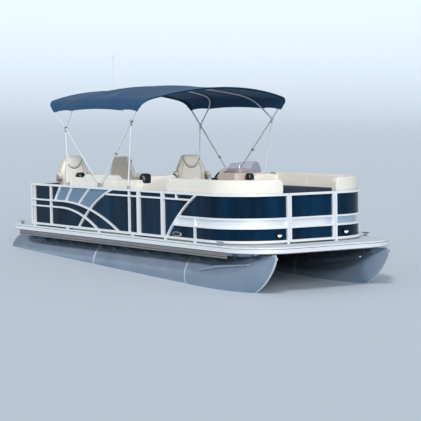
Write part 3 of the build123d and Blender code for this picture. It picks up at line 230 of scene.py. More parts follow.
mill_sheet, tree, place = finish_named("mill_finish_marine_aluminium")
lines = streaks(tree, place, (1.5, 420, 420), 3, Roughness=0.6)
hazed = drift(tree, place, 2.2, 5, TUBE_GREY, TUBE_HAZE, Roughness=0.55)
split = add(tree, "SeparateXYZ", {0: place})
off_centre = add(tree, "Math", {0: split.outputs[1]}, operation="ABSOLUTE")
ground = add(tree, "Math", {0: off_centre, 1: TUBE_FROM_CENTRE, 2: BEAD_HALF}, operation="COMPARE")
for station in WELD_STATIONS:
    band = add(tree, "Math", {0: split.outputs[0], 1: at(station, 0, 0).x, 2: WELD_HALF}, operation="COMPARE")
    ground = add(tree, "Math", {0: ground, 1: band}, operation="MAXIMUM")
dents = add(tree, "TexNoise", {"Vector": place, "Scale": 3.0, "Detail": 1})
dented = add(tree, "Bump", {"Height": dents, "Strength": 0.35, "Distance": 0.012})
surface(tree, {"Metallic": 0.85,
               "Base Color": add(tree, "Mix", {0: ground, 6: hazed, 7: WELD_BRIGHT}, data_type="RGBA"),
               "Roughness": add(tree, "MapRange", {"Value": lines, "To Min": 0.17, "To Max": 0.32}),
               "Normal": add(tree, "Bump", {"Height": lines, "Strength": 0.25, "Distance": 0.0004,
                                            "Normal": dented})})
dress(mill_sheet, "tube_stbd", "tube_port", "motor_pod", "cross_members")


# Deck: cross-planks under woven vinyl inside the fence, and bare ribbed aluminium outside it.
# The vinyl has a stone-grey basket weave; the walkway is dull grey with fine anti-slip ribs.
WEAVE_LIGHT = "#a39c90"
WEAVE_DARK = "#7c766c"
WALKWAY_GREY = "#d4dce4"
WEAVE_PITCH = 0.012
COCKPIT_LENGTH = 5.96
FENCE_FROM_CENTRE = 1.212
FENCE_CORNER = 0.760
deck_finish, tree, place = finish_named("woven_vinyl_and_ribbed_walkway")
split = add(tree, "SeparateXYZ", {0: place})
off_centre = add(tree, "Math", {0: split.outputs[1]}, operation="ABSOLUTE")
half_length = COCKPIT_LENGTH / 2
inside_length = add(tree, "Math", {0: split.outputs[0], 1: at(half_length, 0, 0).x, 2: half_length},
                    operation="COMPARE")
past_bend = []
for distance, bend_start in ((split.outputs[0], at(COCKPIT_LENGTH - FENCE_CORNER, 0, 0).x),
                             (off_centre, FENCE_FROM_CENTRE - FENCE_CORNER)):
    beyond = add(tree, "Math", {0: distance, 1: bend_start}, operation="SUBTRACT")
    past_bend.append(add(tree, "Math", {0: beyond, 1: 0.0}, operation="MAXIMUM"))
across_bend = add(tree, "CombineXYZ", dict(enumerate(past_bend)))
bend_radius = add(tree, "VectorMath", {0: across_bend}, operation="LENGTH")
inside_bend = add(tree, "Math", {0: bend_radius, 1: FENCE_CORNER}, operation="LESS_THAN")
inside = add(tree, "Math", {0: inside_length, 1: inside_bend}, operation="MULTIPLY")
weave = add(tree, "TexChecker", {0: place, 1: WEAVE_LIGHT, 2: WEAVE_DARK, "Scale": 1 / WEAVE_PITCH})
worn = drift(tree, place, 30, 4, weave, WEAVE_DARK)
ribs = add(tree, "TexWave", {"Vector": place, "Scale": 26, "Distortion": 0.2}, wave_type="BANDS",
           bands_direction="Y")
relief = add(tree, "Mix", {0: inside, 2: ribs.outputs["Fac"], 3: weave.outputs["Fac"]})
surface(tree, {"Roughness": 0.62,
               "Base Color": add(tree, "Mix", {0: inside, 6: WALKWAY_GREY, 7: worn}, data_type="RGBA"),
               "Normal": add(tree, "Bump", {"Height": relief, "Strength": 0.35, "Distance": 0.001})})
dress(deck_finish, "deck")

# Deck-edge trim: an extruded aluminium channel, bright-dipped and clear-anodised, screwed round
# the deck's edge. It is nearly white in daylight, with faint draw lines along the extrusion.
TRIM_WHITE = "#f4f6f8"


def drawn_metal(name, colour, smooth, rough, bare=1.0):
    """An extruded and anodised metal, with its draw lines; a milky anodic film makes it less bare."""
    material, tree, place = finish_named(name)
    grain = add(tree, "TexNoise", {"Vector": place, "Scale": 55, "Detail": 3})
    surface(tree, {"Base Color": colour, "Metallic": bare,
                   "Roughness": add(tree, "MapRange", {"Value": grain, "To Min": smooth, "To Max": rough}),
                   "Normal": add(tree, "Bump", {"Height": grain, "Strength": 0.12, "Distance": 0.0004})})
    return material


trim_finish = drawn_metal("clear_anodised_trim", TRIM_WHITE, 0.24, 0.36, 0.3)
dress(trim_finish, "deck_trim")

# Rub-rail lines: thin black rubber let into two grooves of the trim, one under its top lip and
# one over its foot, running round the whole deck.
RUBBER = "#2b3036"
RUBBER_SCUFFED = "#4a5058"
HALF_BEAM = 1.295
DECK_AHEAD_OF_FENCE = 0.470
BOW_CORNER = 0.650
STERN_CORNER = 0.120
RUBBER_THICK = 0.0006
CORNER_STEPS = 72
# low and high edge of each line, from the deck's top
RUB_LINES = ((-0.0225, -0.0165), (-0.0830, -0.0760))


def mottled(name, first, second, scale, detail, inputs):
    """A finish that drifts between two colours, with the shader's other inputs."""
    material, tree, place = finish_named(name)
    surface(tree, {"Base Color": drift(tree, place, scale, detail, first, second), **inputs})
    return material


rubber = mottled("black_rub_rail_rubber", RUBBER, RUBBER_SCUFFED, 24, 4, {"Roughness": 0.6})


def place_piece(form, name, material, body="hull", sharp=40):
    """Makes a modelled form a piece of the boat that rides on a body."""
    for face in form.faces:
        face.smooth = True
    for edge in form.edges:
        edge.smooth = len(edge.link_faces) == 2 and edge.calc_face_angle() < math.radians(sharp)
    made = put(name, mesh_of(form, name))
    made.data.materials.append(material)
    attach(made, body)
    return made


def standing_strip(path, low, high, closed=False):
    """A thin upright wall over a path on the deck."""
    form = bmesh.new()
    foot = [form.verts.new(at(x, y, low)) for x, y in path]
    line = [form.edges.new(pair) for pair in zip(foot, foot[1:] + foot[:1] if closed else foot[1:])]
    bmesh.ops.translate(form, verts=edges_grown(form, line)[1], vec=(0, 0, high - low))
    turn_out(form)
    return form


def thin_sheet(piece, thick, offset=0):
    """Gives a strip or skin its thickness: half to each side, or all behind it at -1."""
    wall = piece.modifiers.new("sheet", "SOLIDIFY")
    wall.thickness = thick
    wall.offset = offset


deck_edge = []
bow_middle = COCKPIT_LENGTH + DECK_AHEAD_OF_FENCE - BOW_CORNER
stern_middle = STERN_CORNER - DECK_BEHIND_FENCE
for middle_x, side, radius, start in ((bow_middle, 1, BOW_CORNER, 0), (stern_middle, 1, STERN_CORNER, 90),
                                      (stern_middle, -1, STERN_CORNER, 180), (bow_middle, -1, BOW_CORNER, 270)):
    for step in range(CORNER_STEPS + 1):
        turn = math.radians(start + 90 * step / CORNER_STEPS)
        deck_edge.append((middle_x + radius * math.cos(turn),
                          side * (HALF_BEAM - radius) + radius * math.sin(turn)))
for index, (low, high) in enumerate(RUB_LINES):
    strip = standing_strip(deck_edge, low, high, closed=True)
    thin_sheet(place_piece(strip, "rub_line_%d" % (index + 1), rubber), RUBBER_THICK)


# Side skirts: ribbed extruded vinyl under the trim, a cool grey with a dusty tone drifting over
# it. The hollows between its three ribs are painted dark as painted shade, so that the ribs look lit.
SKIRT_GREY = "#969aa1"
SKIRT_DUST = "#857f7a"
SKIRT_PAINTED_SHADE = "#3d3d40"
SKIRT_TOP = -0.084
SKIRT_RIB = 0.0257
skirt_finish, tree, place = finish_named("ribbed_extruded_vinyl")
split = add(tree, "SeparateXYZ", {0: place})
below_top = add(tree, "Math", {0: split.outputs[2], 1: DECK_TOP + SKIRT_TOP}, operation="SUBTRACT")
# Painted shade: a narrow band of the dark colour at each hollow between the ribs, deepened by ambient
# occlusion.
rib = add(tree, "Math", {0: below_top, 1: SKIRT_RIB}, operation="PINGPONG")
crest = add(tree, "MapRange", {"Value": rib, "From Min": 0.001, "From Max": 0.009})
occlusion_for_painted_shade = add(tree, "AmbientOcclusion", {"Distance": 0.03}).outputs["AO"]
painted_light_share = add(tree, "Math", {0: occlusion_for_painted_shade, 1: crest}, operation="MULTIPLY")
aged = drift(tree, place, 9, 6, SKIRT_GREY, SKIRT_DUST)
surface(tree, {"Roughness": 0.42,
               "Base Color": add(tree, "Mix", {0: painted_light_share, 6: SKIRT_PAINTED_SHADE, 7: aged}, data_type="RGBA")})
dress(skirt_finish, "side_skirts")


# Fence: welded frames of 32 mm square aluminium tube with narrower bars for the side pattern,
# bright anodised, and 3 mm sheet behind them in gloss navy paint, which bows a little between its
# bars and so mirrors the sky in upright streaks. The same streaks are painted into its colour too: painted
# reflection.
RAIL_WHITE = "#f4f6f8"
PANEL_NAVY = "#0c3450"
PANEL_PAINTED_DARK_STREAK = "#051a2c"
rail_finish = drawn_metal("bright_anodised_rail", RAIL_WHITE, 0.28, 0.4, 0.25)
dress(rail_finish, "fence_frame_stbd_aft", "fence_frame_stbd_bow", "fence_frame_port", "fence_frame_stern",
      "side_gate_frame", "bow_gate_frame", "stern_gate_frame")
panel_finish, tree, place = finish_named("gloss_navy_painted_sheet")
waves = streaks(tree, place, (3.2, 3.2, 0.45), 3)
bowed = add(tree, "Bump", {"Height": waves, "Strength": 0.4, "Distance": 0.012})
peel = add(tree, "TexNoise", {"Vector": place, "Scale": 260, "Detail": 2})
# Painted reflection: the paint's colour follows the bowing streaks, darker in some and lighter in others.
tone = add(tree, "MapRange", {"Value": waves, "From Min": 0.38, "From Max": 0.72})
surface(tree, {"Roughness": 0.15, "Specular IOR Level": 0.08,
               "Base Color": add(tree, "Mix", {0: tone, 6: PANEL_PAINTED_DARK_STREAK, 7: PANEL_NAVY}, data_type="RGBA"),
               "Normal": add(tree, "Bump", {"Height": peel, "Strength": 0.08, "Distance": 0.0003,
                                            "Normal": bowed})})
dress(panel_finish, "fence_panels", "side_gate_panel", "bow_gate_panel", "stern_gate_panel")


# Fence graphics: brushed silver laminate bonded on the painted sheets, 0.6 mm thick. One fills
# the space over the sweeping curve aft, and a band runs between the two bow rails.
LAMINATE_SILVER = "#778ea6"
LAMINATE_LIGHT = "#879fb8"
BAND_SILVER = "#eef3f7"
BAND_SHADE = "#a9bccd"
LAMINATE_THICK = 0.0006
LAMINATE_GLUE = 0.0002
PANEL_FROM_CENTRE = 1.196
ARC_STEPS = 24


def arc_points(first, middle, last):
    """Points along the circle through three points."""
    (ax, az), (bx, bz), (cx, cz) = first, middle, last
    a, b, c = ax * ax + az * az, bx * bx + bz * bz, cx * cx + cz * cz
    d = 2 * (ax * (bz - cz) + bx * (cz - az) + cx * (az - bz))
    ux = (a * (bz - cz) + b * (cz - az) + c * (az - bz)) / d
    uz = (a * (cx - bx) + b * (ax - cx) + c * (bx - ax)) / d
    radius = math.hypot(ax - ux, az - uz)
    start = math.atan2(az - uz, ax - ux)
    end = math.atan2(cz - uz, cx - ux)
    turns = [start + (end - start) * step / ARC_STEPS for step in range(ARC_STEPS + 1)]
    return [(ux + radius * math.cos(turn), uz + radius * math.sin(turn)) for turn in turns]


def faces_grown(form):
    """Extrudes all faces of a form, and gives the new points."""
    grown = bmesh.ops.extrude_face_region(form, geom=form.faces[:])["geom"]
    return [item for item in grown if isinstance(item, bmesh.types.BMVert)]


silver, tree, place = finish_named("brushed_silver_laminate")
drawn = streaks(tree, place, (2.0, 2.0, 300), 3)
surface(tree, {"Metallic": 0.55, "Roughness": 0.42,
               "Base Color": add(tree, "Mix", {0: drawn, 6: LAMINATE_SILVER, 7: LAMINATE_LIGHT},
                                 data_type="RGBA")})
band_silver, tree, place = finish_named("brushed_silver_band")
drawn = streaks(tree, place, (1.2, 1.2, 500), 3)
# Painted sheen: broad soft patches turn the band's colour from bright silver to a darker grey-blue, for an
# uneven shine.
cloud = add(tree, "TexNoise", {"Vector": place, "Scale": 0.9, "Detail": 1})
shaded = add(tree, "MapRange", {"Value": cloud, "From Min": 0.56, "From Max": 0.72})
surface(tree, {"Metallic": 0.3, "Roughness": 0.34,
               "Base Color": add(tree, "Mix", {0: shaded, 6: BAND_SILVER, 7: BAND_SHADE}, data_type="RGBA"),
               "Normal": add(tree, "Bump", {"Height": drawn, "Strength": 0.2, "Distance": 0.0004})})

rising = arc_points((1.555, 0.040), (1.930, 0.345), (2.640, 0.670))
sweep = arc_points((1.090, 0.430), (1.980, 0.323), (2.800, 0.040))
meet = min(((r, s) for r in range(ARC_STEPS + 1) for s in range(ARC_STEPS + 1)),
           key=lambda pair: math.dist(rising[pair[0]], sweep[pair[1]]))
outline = [(0.988, 0.672), (0.783, 0.428)] + sweep[:meet[1] + 1] + rising[meet[0]:]
for side, name in ((-1, "fence_graphic_stbd"), (1, "fence_graphic_port")):
    form = bmesh.new()
    form.faces.new([form.verts.new(at(x, side * (PANEL_FROM_CENTRE + LAMINATE_GLUE), z)) for x, z in outline])
    bmesh.ops.translate(form, verts=faces_grown(form), vec=(0, side * LAMINATE_THICK, 0))
    turn_out(form)
    place_piece(form, name, silver)

# The band starts on a slant. It is in three lengths, a short one on the bow gate and one along
# each side, which ends at the gate's jamb.
BAND_LOW = 0.226
BAND_HIGH = 0.348
BAND_START_LOW = 4.335
BAND_START_HIGH = 4.470
BAND_END = 0.410
GATE_BAND_END = 0.364
GATE_FACE = COCKPIT_LENGTH - 0.016
proud = PANEL_FROM_CENTRE + LAMINATE_THICK
bend_x, bend_y = COCKPIT_LENGTH - FENCE_CORNER, FENCE_FROM_CENTRE - FENCE_CORNER
radius = proud - bend_y
for side, name in ((-1, "bow_band_stbd"), (1, "bow_band_port")):
    path = [(BAND_START_LOW, side * proud)]
    for step in range(ARC_STEPS + 1):
        turn = math.radians(90 * step / ARC_STEPS)
        path.append((bend_x + radius * math.sin(turn), side * (bend_y + radius * math.cos(turn))))
    path.append((bend_x + radius, side * BAND_END))
    form = standing_strip(path, BAND_LOW, BAND_HIGH)
    for vertex in form.verts:
        if vertex.co.x < at(BAND_START_LOW, 0, 0).x + 0.001 and vertex.co.z > at(0, 0, BAND_HIGH).z - 0.001:
            vertex.co.x = at(BAND_START_HIGH, 0, 0).x
    thin_sheet(place_piece(form, name, band_silver), LAMINATE_THICK)
gate_line = [(GATE_FACE + LAMINATE_THICK, side * GATE_BAND_END) for side in (-1, 1)]
gate_strip = standing_strip(gate_line, BAND_LOW, BAND_HIGH)
thin_sheet(place_piece(gate_strip, "bow_gate_band", band_silver, "bow_gate"), LAMINATE_THICK)


# Lounges: foam on moulded bases, covered in ivory marine vinyl with a fine leather grain. The
# covers are sewn from panels, so each pad is crowned and pulled in along its seams.
VINYL_IVORY = "#f4f0e6"
VINYL_SHADE = "#e6e1d5"
VINYL_SLATE = "#2c3a4c"
BASE_PLASTIC = "#cfcabd"
SLATE_UNDER = 0.680
PAD_EDGE = 0.03
CLOTH_STEPS = 18
CLOTH = {"quality": 4, "mass": 0.4, "tension_stiffness": 12, "compression_stiffness": 12,
         "bending_stiffness": 0.6, "use_pressure": True, "uniform_pressure_force": 4}


def marine_vinyl(name, slate_under=None):
    """A coated fabric with pores and soft creases, slate below a height where it is given."""
    material, tree, place = finish_named(name)
    tone = drift(tree, place, 3.5, 4, VINYL_IVORY, VINYL_SHADE)
    if slate_under is not None:
        height = add(tree, "SeparateXYZ", {0: place}).outputs[2]
        low = add(tree, "Math", {0: height, 1: DECK_TOP + slate_under}, operation="LESS_THAN")
        tone = add(tree, "Mix", {0: low, 6: tone, 7: VINYL_SLATE}, data_type="RGBA")
    grain = add(tree, "TexVoronoi", {"Vector": place, "Scale": 420}, feature="F1")
    creases = add(tree, "TexNoise", {"Vector": place, "Scale": 11, "Detail": 3})
    creased = add(tree, "Bump", {"Height": creases, "Strength": 0.2, "Distance": 0.005})
    pores = add(tree, "Bump", {"Height": grain, "Strength": 0.2, "Distance": 0.0006, "Normal": creased})
    surface(tree, {"Roughness": 0.44, "Base Color": tone, "Normal": pores})
    return material


def pebbled(name, colour, roughness, scale, strength, distance):
    """A moulded plastic with a pebbled skin."""
    material, tree, place = finish_named(name)
    skin = add(tree, "TexNoise", {"Vector": place, "Scale": scale, "Detail": 2})
    surface(tree, {"Base Color": colour, "Roughness": roughness,
                   "Normal": add(tree, "Bump", {"Height": skin, "Strength": strength, "Distance": distance})})
    return material


vinyl_finish = marine_vinyl("ivory_marine_vinyl")
# The bow backs' cover turns slate below SLATE_UNDER over the deck and stays ivory above it.
ivory_vinyl_slate_below = marine_vinyl("ivory_over_slate_vinyl", SLATE_UNDER)
base_finish = pebbled("rotomoulded_polyethylene", BASE_PLASTIC, 0.5, 160, 0.3, 0.0012)
dress(base_finish, "lounge_bases")


def round_edges(form, edges, offset, segments, **more):
    """Rounds edges of a form."""
    bmesh.ops.bevel(form, geom=edges, offset=offset, segments=segments, profile=0.5, affect="EDGES",
                    material=-1, **more)


def as_it_looks(piece):
    """A mesh of a piece as its modifiers leave it, and the modifiers are taken off."""
    mesh = bpy.data.meshes.new_from_object(piece.evaluated_get(bpy.context.evaluated_depsgraph_get()))
    piece.modifiers.clear()
    return mesh


def stuffed(name, node, body, voxel, slack, swell, seams, fill, cover=vinyl_finish, crest=None):
    """A pad in the space of its CAD solid: remeshed, blown up like foam under a cover, then sewn.

    slack is how far it starts inside the solid and swell how far it may then grow. Each seam is
    (axis, place along it, depth, half width). crest gives the cover's greatest height at a point.
    """
    form = bmesh.new()
    form.from_mesh(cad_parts[node].data)
    bmesh.ops.remove_doubles(form, verts=form.verts, dist=0.0002)
    bmesh.ops.dissolve_limit(form, angle_limit=0.03, verts=form.verts, edges=form.edges)
    turn_out(form)
    round_edges(form, [e for e in form.edges if e.is_manifold and e.calc_face_angle() > 0.6], PAD_EDGE, 3,
                offset_type="OFFSET", clamp_overlap=True)
    pad = put(name, mesh_of(form, name))
    grid = pad.modifiers.new("grid", "REMESH")
    grid.mode = "VOXEL"
    grid.voxel_size = voxel
    shrink = pad.modifiers.new("shrink", "DISPLACE")
    shrink.strength = -slack
    shrink.mid_level = 0
    mesh = as_it_looks(pad)
    pad.data = mesh
    if crest:
        for vertex in mesh.vertices:
            vertex.co.z = min(vertex.co.z, crest(vertex.co) - slack)
    start = [vertex.co.copy() for vertex in mesh.vertices]
    low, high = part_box(node)
    cloth = pad.modifiers.new("cloth", "CLOTH")
    cloth.settings.effector_weights.gravity = 0
    for name, value in CLOTH.items():
        setattr(cloth.settings, name, value)
    for step in range(CLOTH_STEPS):
        scene.frame_set(step + 1)
    grown = as_it_looks(pad)
    scene.frame_set(1)
    for vertex, was, now in zip(mesh.vertices, start, grown.vertices):
        move = now.co - was
        if move.length > swell:
            move *= swell / move.length
        vertex.co = was + move
    normals = [vertex.normal.copy() for vertex in mesh.vertices]
    for vertex, normal in zip(mesh.vertices, normals):
        for axis, position, depth, half_width in seams:
            away = (vertex.co[axis] - position) / half_width
            if abs(away) < 3:
                vertex.co -= normal * depth * math.exp(-away * away)
        for axis in range(3):
            vertex.co[axis] = min(max(vertex.co[axis], low[axis]), high[axis])
    mesh.shade_smooth()
    mesh.materials.clear()
    mesh.materials.append(cover)
    smooth = pad.modifiers.new("cover", "SUBSURF")
    smooth.levels = 1
    smooth.render_levels = 1
    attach(pad, body)
    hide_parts(node)
    return pad


def seams_along(axis, start, end, count, depth, half_width):
    """Evenly spaced seams between two places."""
    return [(axis, start + (end - start) * step / count, depth, half_width) for step in range(1, count)]


def eased(value, start, end):
    """0 before start and 1 after end, with a soft step between."""
    share = min(1.0, max(0.0, (value - start) / (end - start)))
    return share * share * (3 - 2 * share)


ARM_TOP = 0.830
BACK_OVER_ARM = 0.058
# where the side back rises, where it falls to its forward arm, and where the return begins
BACK_RISES, BACK_FALLS, RETURN_RISES = (1.640, 1.760), (2.560, 2.680), (3.140, 3.160)


def side_back_crest(spot):
    """The starboard side back stands up between two rounded corners, over lower arms."""
    station = spot.x - STERN_FENCE
    stands = eased(station, *BACK_RISES) - eased(station, *BACK_FALLS) + eased(station, *RETURN_RISES)
    return DECK_TOP + ARM_TOP + BACK_OVER_ARM * stands


# size of the cover's mesh, slack and swell
LOUNGE_FOAM = (0.020, 0.006, 0.012)
# depth and half width of the seams across a seat, up a back and along it
SEAT_SEAM, UPRIGHT_SEAM, LEVEL_SEAM = (0.010, 0.012), (0.009, 0.010), (0.007, 0.009)
LOUNGE_FILL = 0.85
LONG_SEAT = 1.3
# lounge, stations of its back's upright seams, heights of its level seams
BACK_SEAMS = (("stbd_aft", (1.500, 2.690, 3.155), (0.785,)), ("port_aft", (0.655,), (0.640,)),
              ("stbd_bow", (4.235,), (SLATE_UNDER,)), ("port_bow", (3.690, 4.480), (SLATE_UNDER,)))
for which, stations, heights in BACK_SEAMS:
    low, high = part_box("lounge_seat_" + which)
    panels = 3 if high.x - low.x > LONG_SEAT else 2
    stuffed("lounge_seat_pad_" + which, "lounge_seat_" + which, "hull", *LOUNGE_FOAM,
            seams_along(0, low.x, high.x, panels, *SEAT_SEAM), LOUNGE_FILL)
    sewn = [(0, at(station, 0, 0).x, *UPRIGHT_SEAM) for station in stations]
    sewn += [(2, DECK_TOP + height, *LEVEL_SEAM) for height in heights]
    stuffed("lounge_back_pad_" + which, "lounge_back_" + which, "hull", *LOUNGE_FOAM, sewn, LOUNGE_FILL,
            ivory_vinyl_slate_below if which.endswith("bow") else vinyl_finish,
            side_back_crest if which == "stbd_aft" else None)


# Cup holders on the lounges: black moulded cups let into the arms and chaise backs. Black beads
# along the ends of the two backs that face the bow stand for the shadow gaps there: painted shade.
SHADE_GAP_LINE_RADIUS = 0.006
GLOSS_BLACK = "#15181d"


def polished(name, colour, scale, detail, smooth, rough):
    """A hard gloss with faint swirls in its shine."""
    material, tree, place = finish_named(name)
    swirls = add(tree, "TexNoise", {"Vector": place, "Scale": scale, "Detail": detail})
    surface(tree, {"Base Color": colour,
                   "Roughness": add(tree, "MapRange", {"Value": swirls, "To Min": smooth, "To Max": rough})})
    return material


black_gloss = polished("black_moulded_abs", GLOSS_BLACK, 60, 3, 0.16, 0.3)


def joined_up(form):
    """Joins the doubled points of a form and turns its faces outwards."""
    bmesh.ops.remove_doubles(form, verts=form.verts, dist=0.00005)
    turn_out(form)
    return form


def bead(points, radius):
    """A round bead along a line of points, closed at its ends."""
    curve = bpy.data.curves.new("bead", "CURVE")
    curve.dimensions = "3D"
    curve.bevel_depth = radius
    curve.bevel_resolution = 3
    curve.use_fill_caps = True
    spline = curve.splines.new("POLY")
    spline.points.add(len(points) - 1)
    for knot, spot in zip(spline.points, points):
        knot.co = (*spot, 1)
    holder = bpy.data.objects.new("bead", curve)
    form = bmesh.new()
    form.from_mesh(bpy.data.meshes.new_from_object(holder))
    bpy.data.objects.remove(holder)
    bpy.data.curves.remove(curve)
    return joined_up(form)


def lathed(profile):
    """A closed round body from the (radius, height) points of its outline, turned about Z."""
    form = bmesh.new()
    points = [form.verts.new((radius, 0, height)) for radius, height in profile]
    edges = [form.edges.new(pair) for pair in zip(points, points[1:])]
    bmesh.ops.spin(form, geom=points + edges, cent=(0, 0, 0), axis=(0, 0, 1), angle=2 * math.pi, steps=44)
    return joined_up(form)


# outline as shares of the cup's outer radius and of its height, from its foot to the cup's floor
CUP_OUTLINE = ((0.0, 0.0), (1.0, 0.0), (1.0, 0.34), (0.98, 0.48), (0.93, 0.63), (0.85, 0.77), (0.75, 0.88),
               (0.66, 0.95), (0.58, 0.99), (0.55, 1.0), (0.525, 0.985), (0.515, 0.94), (0.50, 0.50),
               (0.47, 0.42), (0.0, 0.40))
# name, station, distance to port, height of its foot and rim, half length and half width
CUPS = (("cup_holder_stbd_arm", 1.430, -1.100, 0.800, 0.884, 0.078, 0.078),
        ("cup_holder_stbd_return", 3.250, -1.010, 0.770, 0.905, 0.075, 0.105),
        ("cup_holder_port_chaise", 3.597, 0.600, 0.775, 0.870, 0.070, 0.070))
# name, station, distance to port and height of each of its points
SHADE_GAP_LINES = (("shade_gap_line_stbd_return", 3.318, ((-0.580, 0.884), (-0.555, 0.882), (-0.530, 0.872), (-0.513, 0.852),
                                      (-0.506, 0.825), (-0.505, 0.780), (-0.505, 0.700))),
         ("shade_gap_line_port_chaise", 3.678, ((0.930, 0.866), (0.965, 0.868), (1.000, 0.862), (1.030, 0.845),
                                      (1.052, 0.815), (1.064, 0.780), (1.070, 0.720))))
for name, station, port, foot, rim_height, half_length, half_width in CUPS:
    form = lathed(CUP_OUTLINE)
    form.transform(Matrix.Translation(at(station, port, foot))
                   @ Matrix.Diagonal((half_length, half_width, rim_height - foot, 1)))
    place_piece(form, name, black_gloss, sharp=50)

# Painted shade: each black bead lies where a dark gap of shadow falls between a back's end and the cushion
# beyond.
for name, station, points in SHADE_GAP_LINES:
    place_piece(bead([at(station, port, height) for port, height in points], SHADE_GAP_LINE_RADIUS), name, black_gloss,
                sharp=80)


# Captain's chairs: textured ABS shells that turn on satin aluminium posts, padded in the same
# vinyl, with a soft head pillow, rounded arm pads and dull grey piping along their seams.
SHELL_BEIGE = "#c4beb2"
POST_SATIN = "#c9ccce"
PIPING_GREY = "#5d5f60"
PIPING_LIGHT = "#747677"
CHAIR_BACK_TOP = 1.125
CHAIR_FILL = 0.9
CHAIR_FOAM = (0.013, 0.004, 0.012)
BACK_FACE, BACK_FACE_HEIGHT, BACK_LEAN = -0.078, 0.561, 0.110
BACK_FLAT_HALF = 0.095
PILLOW_LOW, PILLOW_END_LIFT = 0.918, 0.135
PILLOW_HALF = 0.130
PILLOW_PROUD = 0.009
PILLOW_CROWN = 0.026
PILLOW_SUNK = 0.030
SEAM_LOW, SEAM_HIGH = 0.600, 0.980
ARM_MIDDLE = (-0.045, 0.259, 0.822)
ARM_SIZE = (0.290, 0.066, 0.062)
ARM_EDGE = 0.022
PILLOW_CORD = 0.0055
BACK_CORD = 0.0032
# name, station, distance to port, heading in degrees from the bow
CHAIRS = (("helm", 1.830, 0.710, -25), ("companion", 1.560, -0.240, 100), ("aft", 0.500, -0.680, -18))
shell_finish = pebbled("textured_beige_abs", SHELL_BEIGE, 0.48, 240, 0.25, 0.0006)
post_finish = drawn_metal("satin_chair_post", POST_SATIN, 0.3, 0.45)
dress(post_finish, "chair_pedestals")
piping = mottled("grey_vinyl_piping", PIPING_GREY, PIPING_LIGHT, 320, 1, {"Roughness": 0.5})


def face_of_back(height):
    """How far the padded back's front face stands ahead of the swivel, at a height."""
    return BACK_FACE - BACK_LEAN * (height - BACK_FACE_HEIGHT)


def top_of_back(across):
    """The height of the padded back's domed top edge, across the chair."""
    beyond = max(0.0, abs(across) - BACK_FLAT_HALF)
    return CHAIR_BACK_TOP - beyond - 1.6 * beyond ** 2


def drop_of_pillow(across):
    """The height of the head pillow's rounded lower edge, across the chair."""
    return PILLOW_LOW + PILLOW_END_LIFT * (abs(across) / PILLOW_HALF) ** 2.6


for which, station, port, heading in CHAIRS:
    chair = "chair_" + which
    dress(shell_finish, chair + "_shell")
    turned = Matrix.Translation(at(station, port, 0)) @ Matrix.Rotation(math.radians(heading), 4, "Z")
    facing = turned.inverted()
    stuffed("chair_pad_" + which, chair + "_cushions", chair, *CHAIR_FOAM, [], CHAIR_FILL,
            crest=lambda spot: DECK_TOP + top_of_back((facing @ spot).y))
    form = bmesh.new()
    bmesh.ops.create_grid(form, x_segments=28, y_segments=20, size=1)
    for vertex in form.verts:
        across = PILLOW_HALF * vertex.co.x
        share = (vertex.co.y + 1) / 2
        low = drop_of_pillow(across)
        height = low + (top_of_back(across) - 0.008 - low) * share
        crown = (1 - vertex.co.x ** 4) * (1 - (2 * share - 1) ** 4)
        vertex.co = (face_of_back(height) + PILLOW_PROUD + PILLOW_CROWN * crown, across, height)
    for point in faces_grown(form):
        point.co.x = face_of_back(point.co.z) - PILLOW_SUNK
    form.transform(turned)
    turn_out(form)
    pillow = place_piece(form, "head_pillow_" + which, vinyl_finish, chair, sharp=75)
    edge = []
    for step in range(33):
        across = (PILLOW_HALF + 0.003) * (step - 16) / 16
        height = drop_of_pillow(across) - 0.003
        edge.append(turned @ Vector((face_of_back(height) + 0.011, across, height)))
    place_piece(bead(edge, PILLOW_CORD), "pillow_piping_" + which, piping, chair, sharp=80)
    for side, hand in ((-1, "right"), (1, "left")):
        seam = []
        for share in (step / 24 for step in range(25)):
            height = SEAM_LOW + (SEAM_HIGH - SEAM_LOW) * share
            across = side * (0.128 + 0.030 * math.sin(math.pi * share))
            seam.append(turned @ Vector((face_of_back(height) + PILLOW_PROUD, across, height)))
        name = "%s_%s" % (which, hand)
        place_piece(bead(seam, BACK_CORD), "back_piping_" + name, piping, chair, sharp=80)
        form = bmesh.new()
        spot = Matrix.Translation(Vector(ARM_MIDDLE) * Vector((1, side, 1)))
        bmesh.ops.create_cube(form, size=1, matrix=turned @ spot @ Matrix.Diagonal((*ARM_SIZE, 1)))
        round_edges(form, form.edges[:], ARM_EDGE, 5)
        arm_pad = place_piece(form, "arm_pad_" + name, vinyl_finish, chair, sharp=75)


# Helm: a moulded stand in tan gelcoat, which shines softly under its wax and has faded a little,
# with a wheel and a control lever in matt black moulded polyurethane.
GELCOAT_TAN = "#e6d5cd"
GELCOAT_FADED = "#dac6bc"
SOFT_BLACK = "#161617"
SMOKE_TINT = "#e3dfea"
gelcoat = mottled("tan_gelcoat", GELCOAT_TAN, GELCOAT_FADED, 4, 3,
                  {"Roughness": 0.28, "Coat Weight": 0.5, "Coat Roughness": 0.1})
dress(gelcoat, "helm_console")
soft_black = pebbled("soft_black_polyurethane", SOFT_BLACK, 0.42, 300, 0.2, 0.0004)
dress(soft_black, "steering_wheel", "throttle")
smoke, tree, place = finish_named("smoked_acrylic")
surface(tree, {"Base Color": SMOKE_TINT, "Roughness": 0.03, "IOR": 1.49, "Transmission Weight": 0.94})

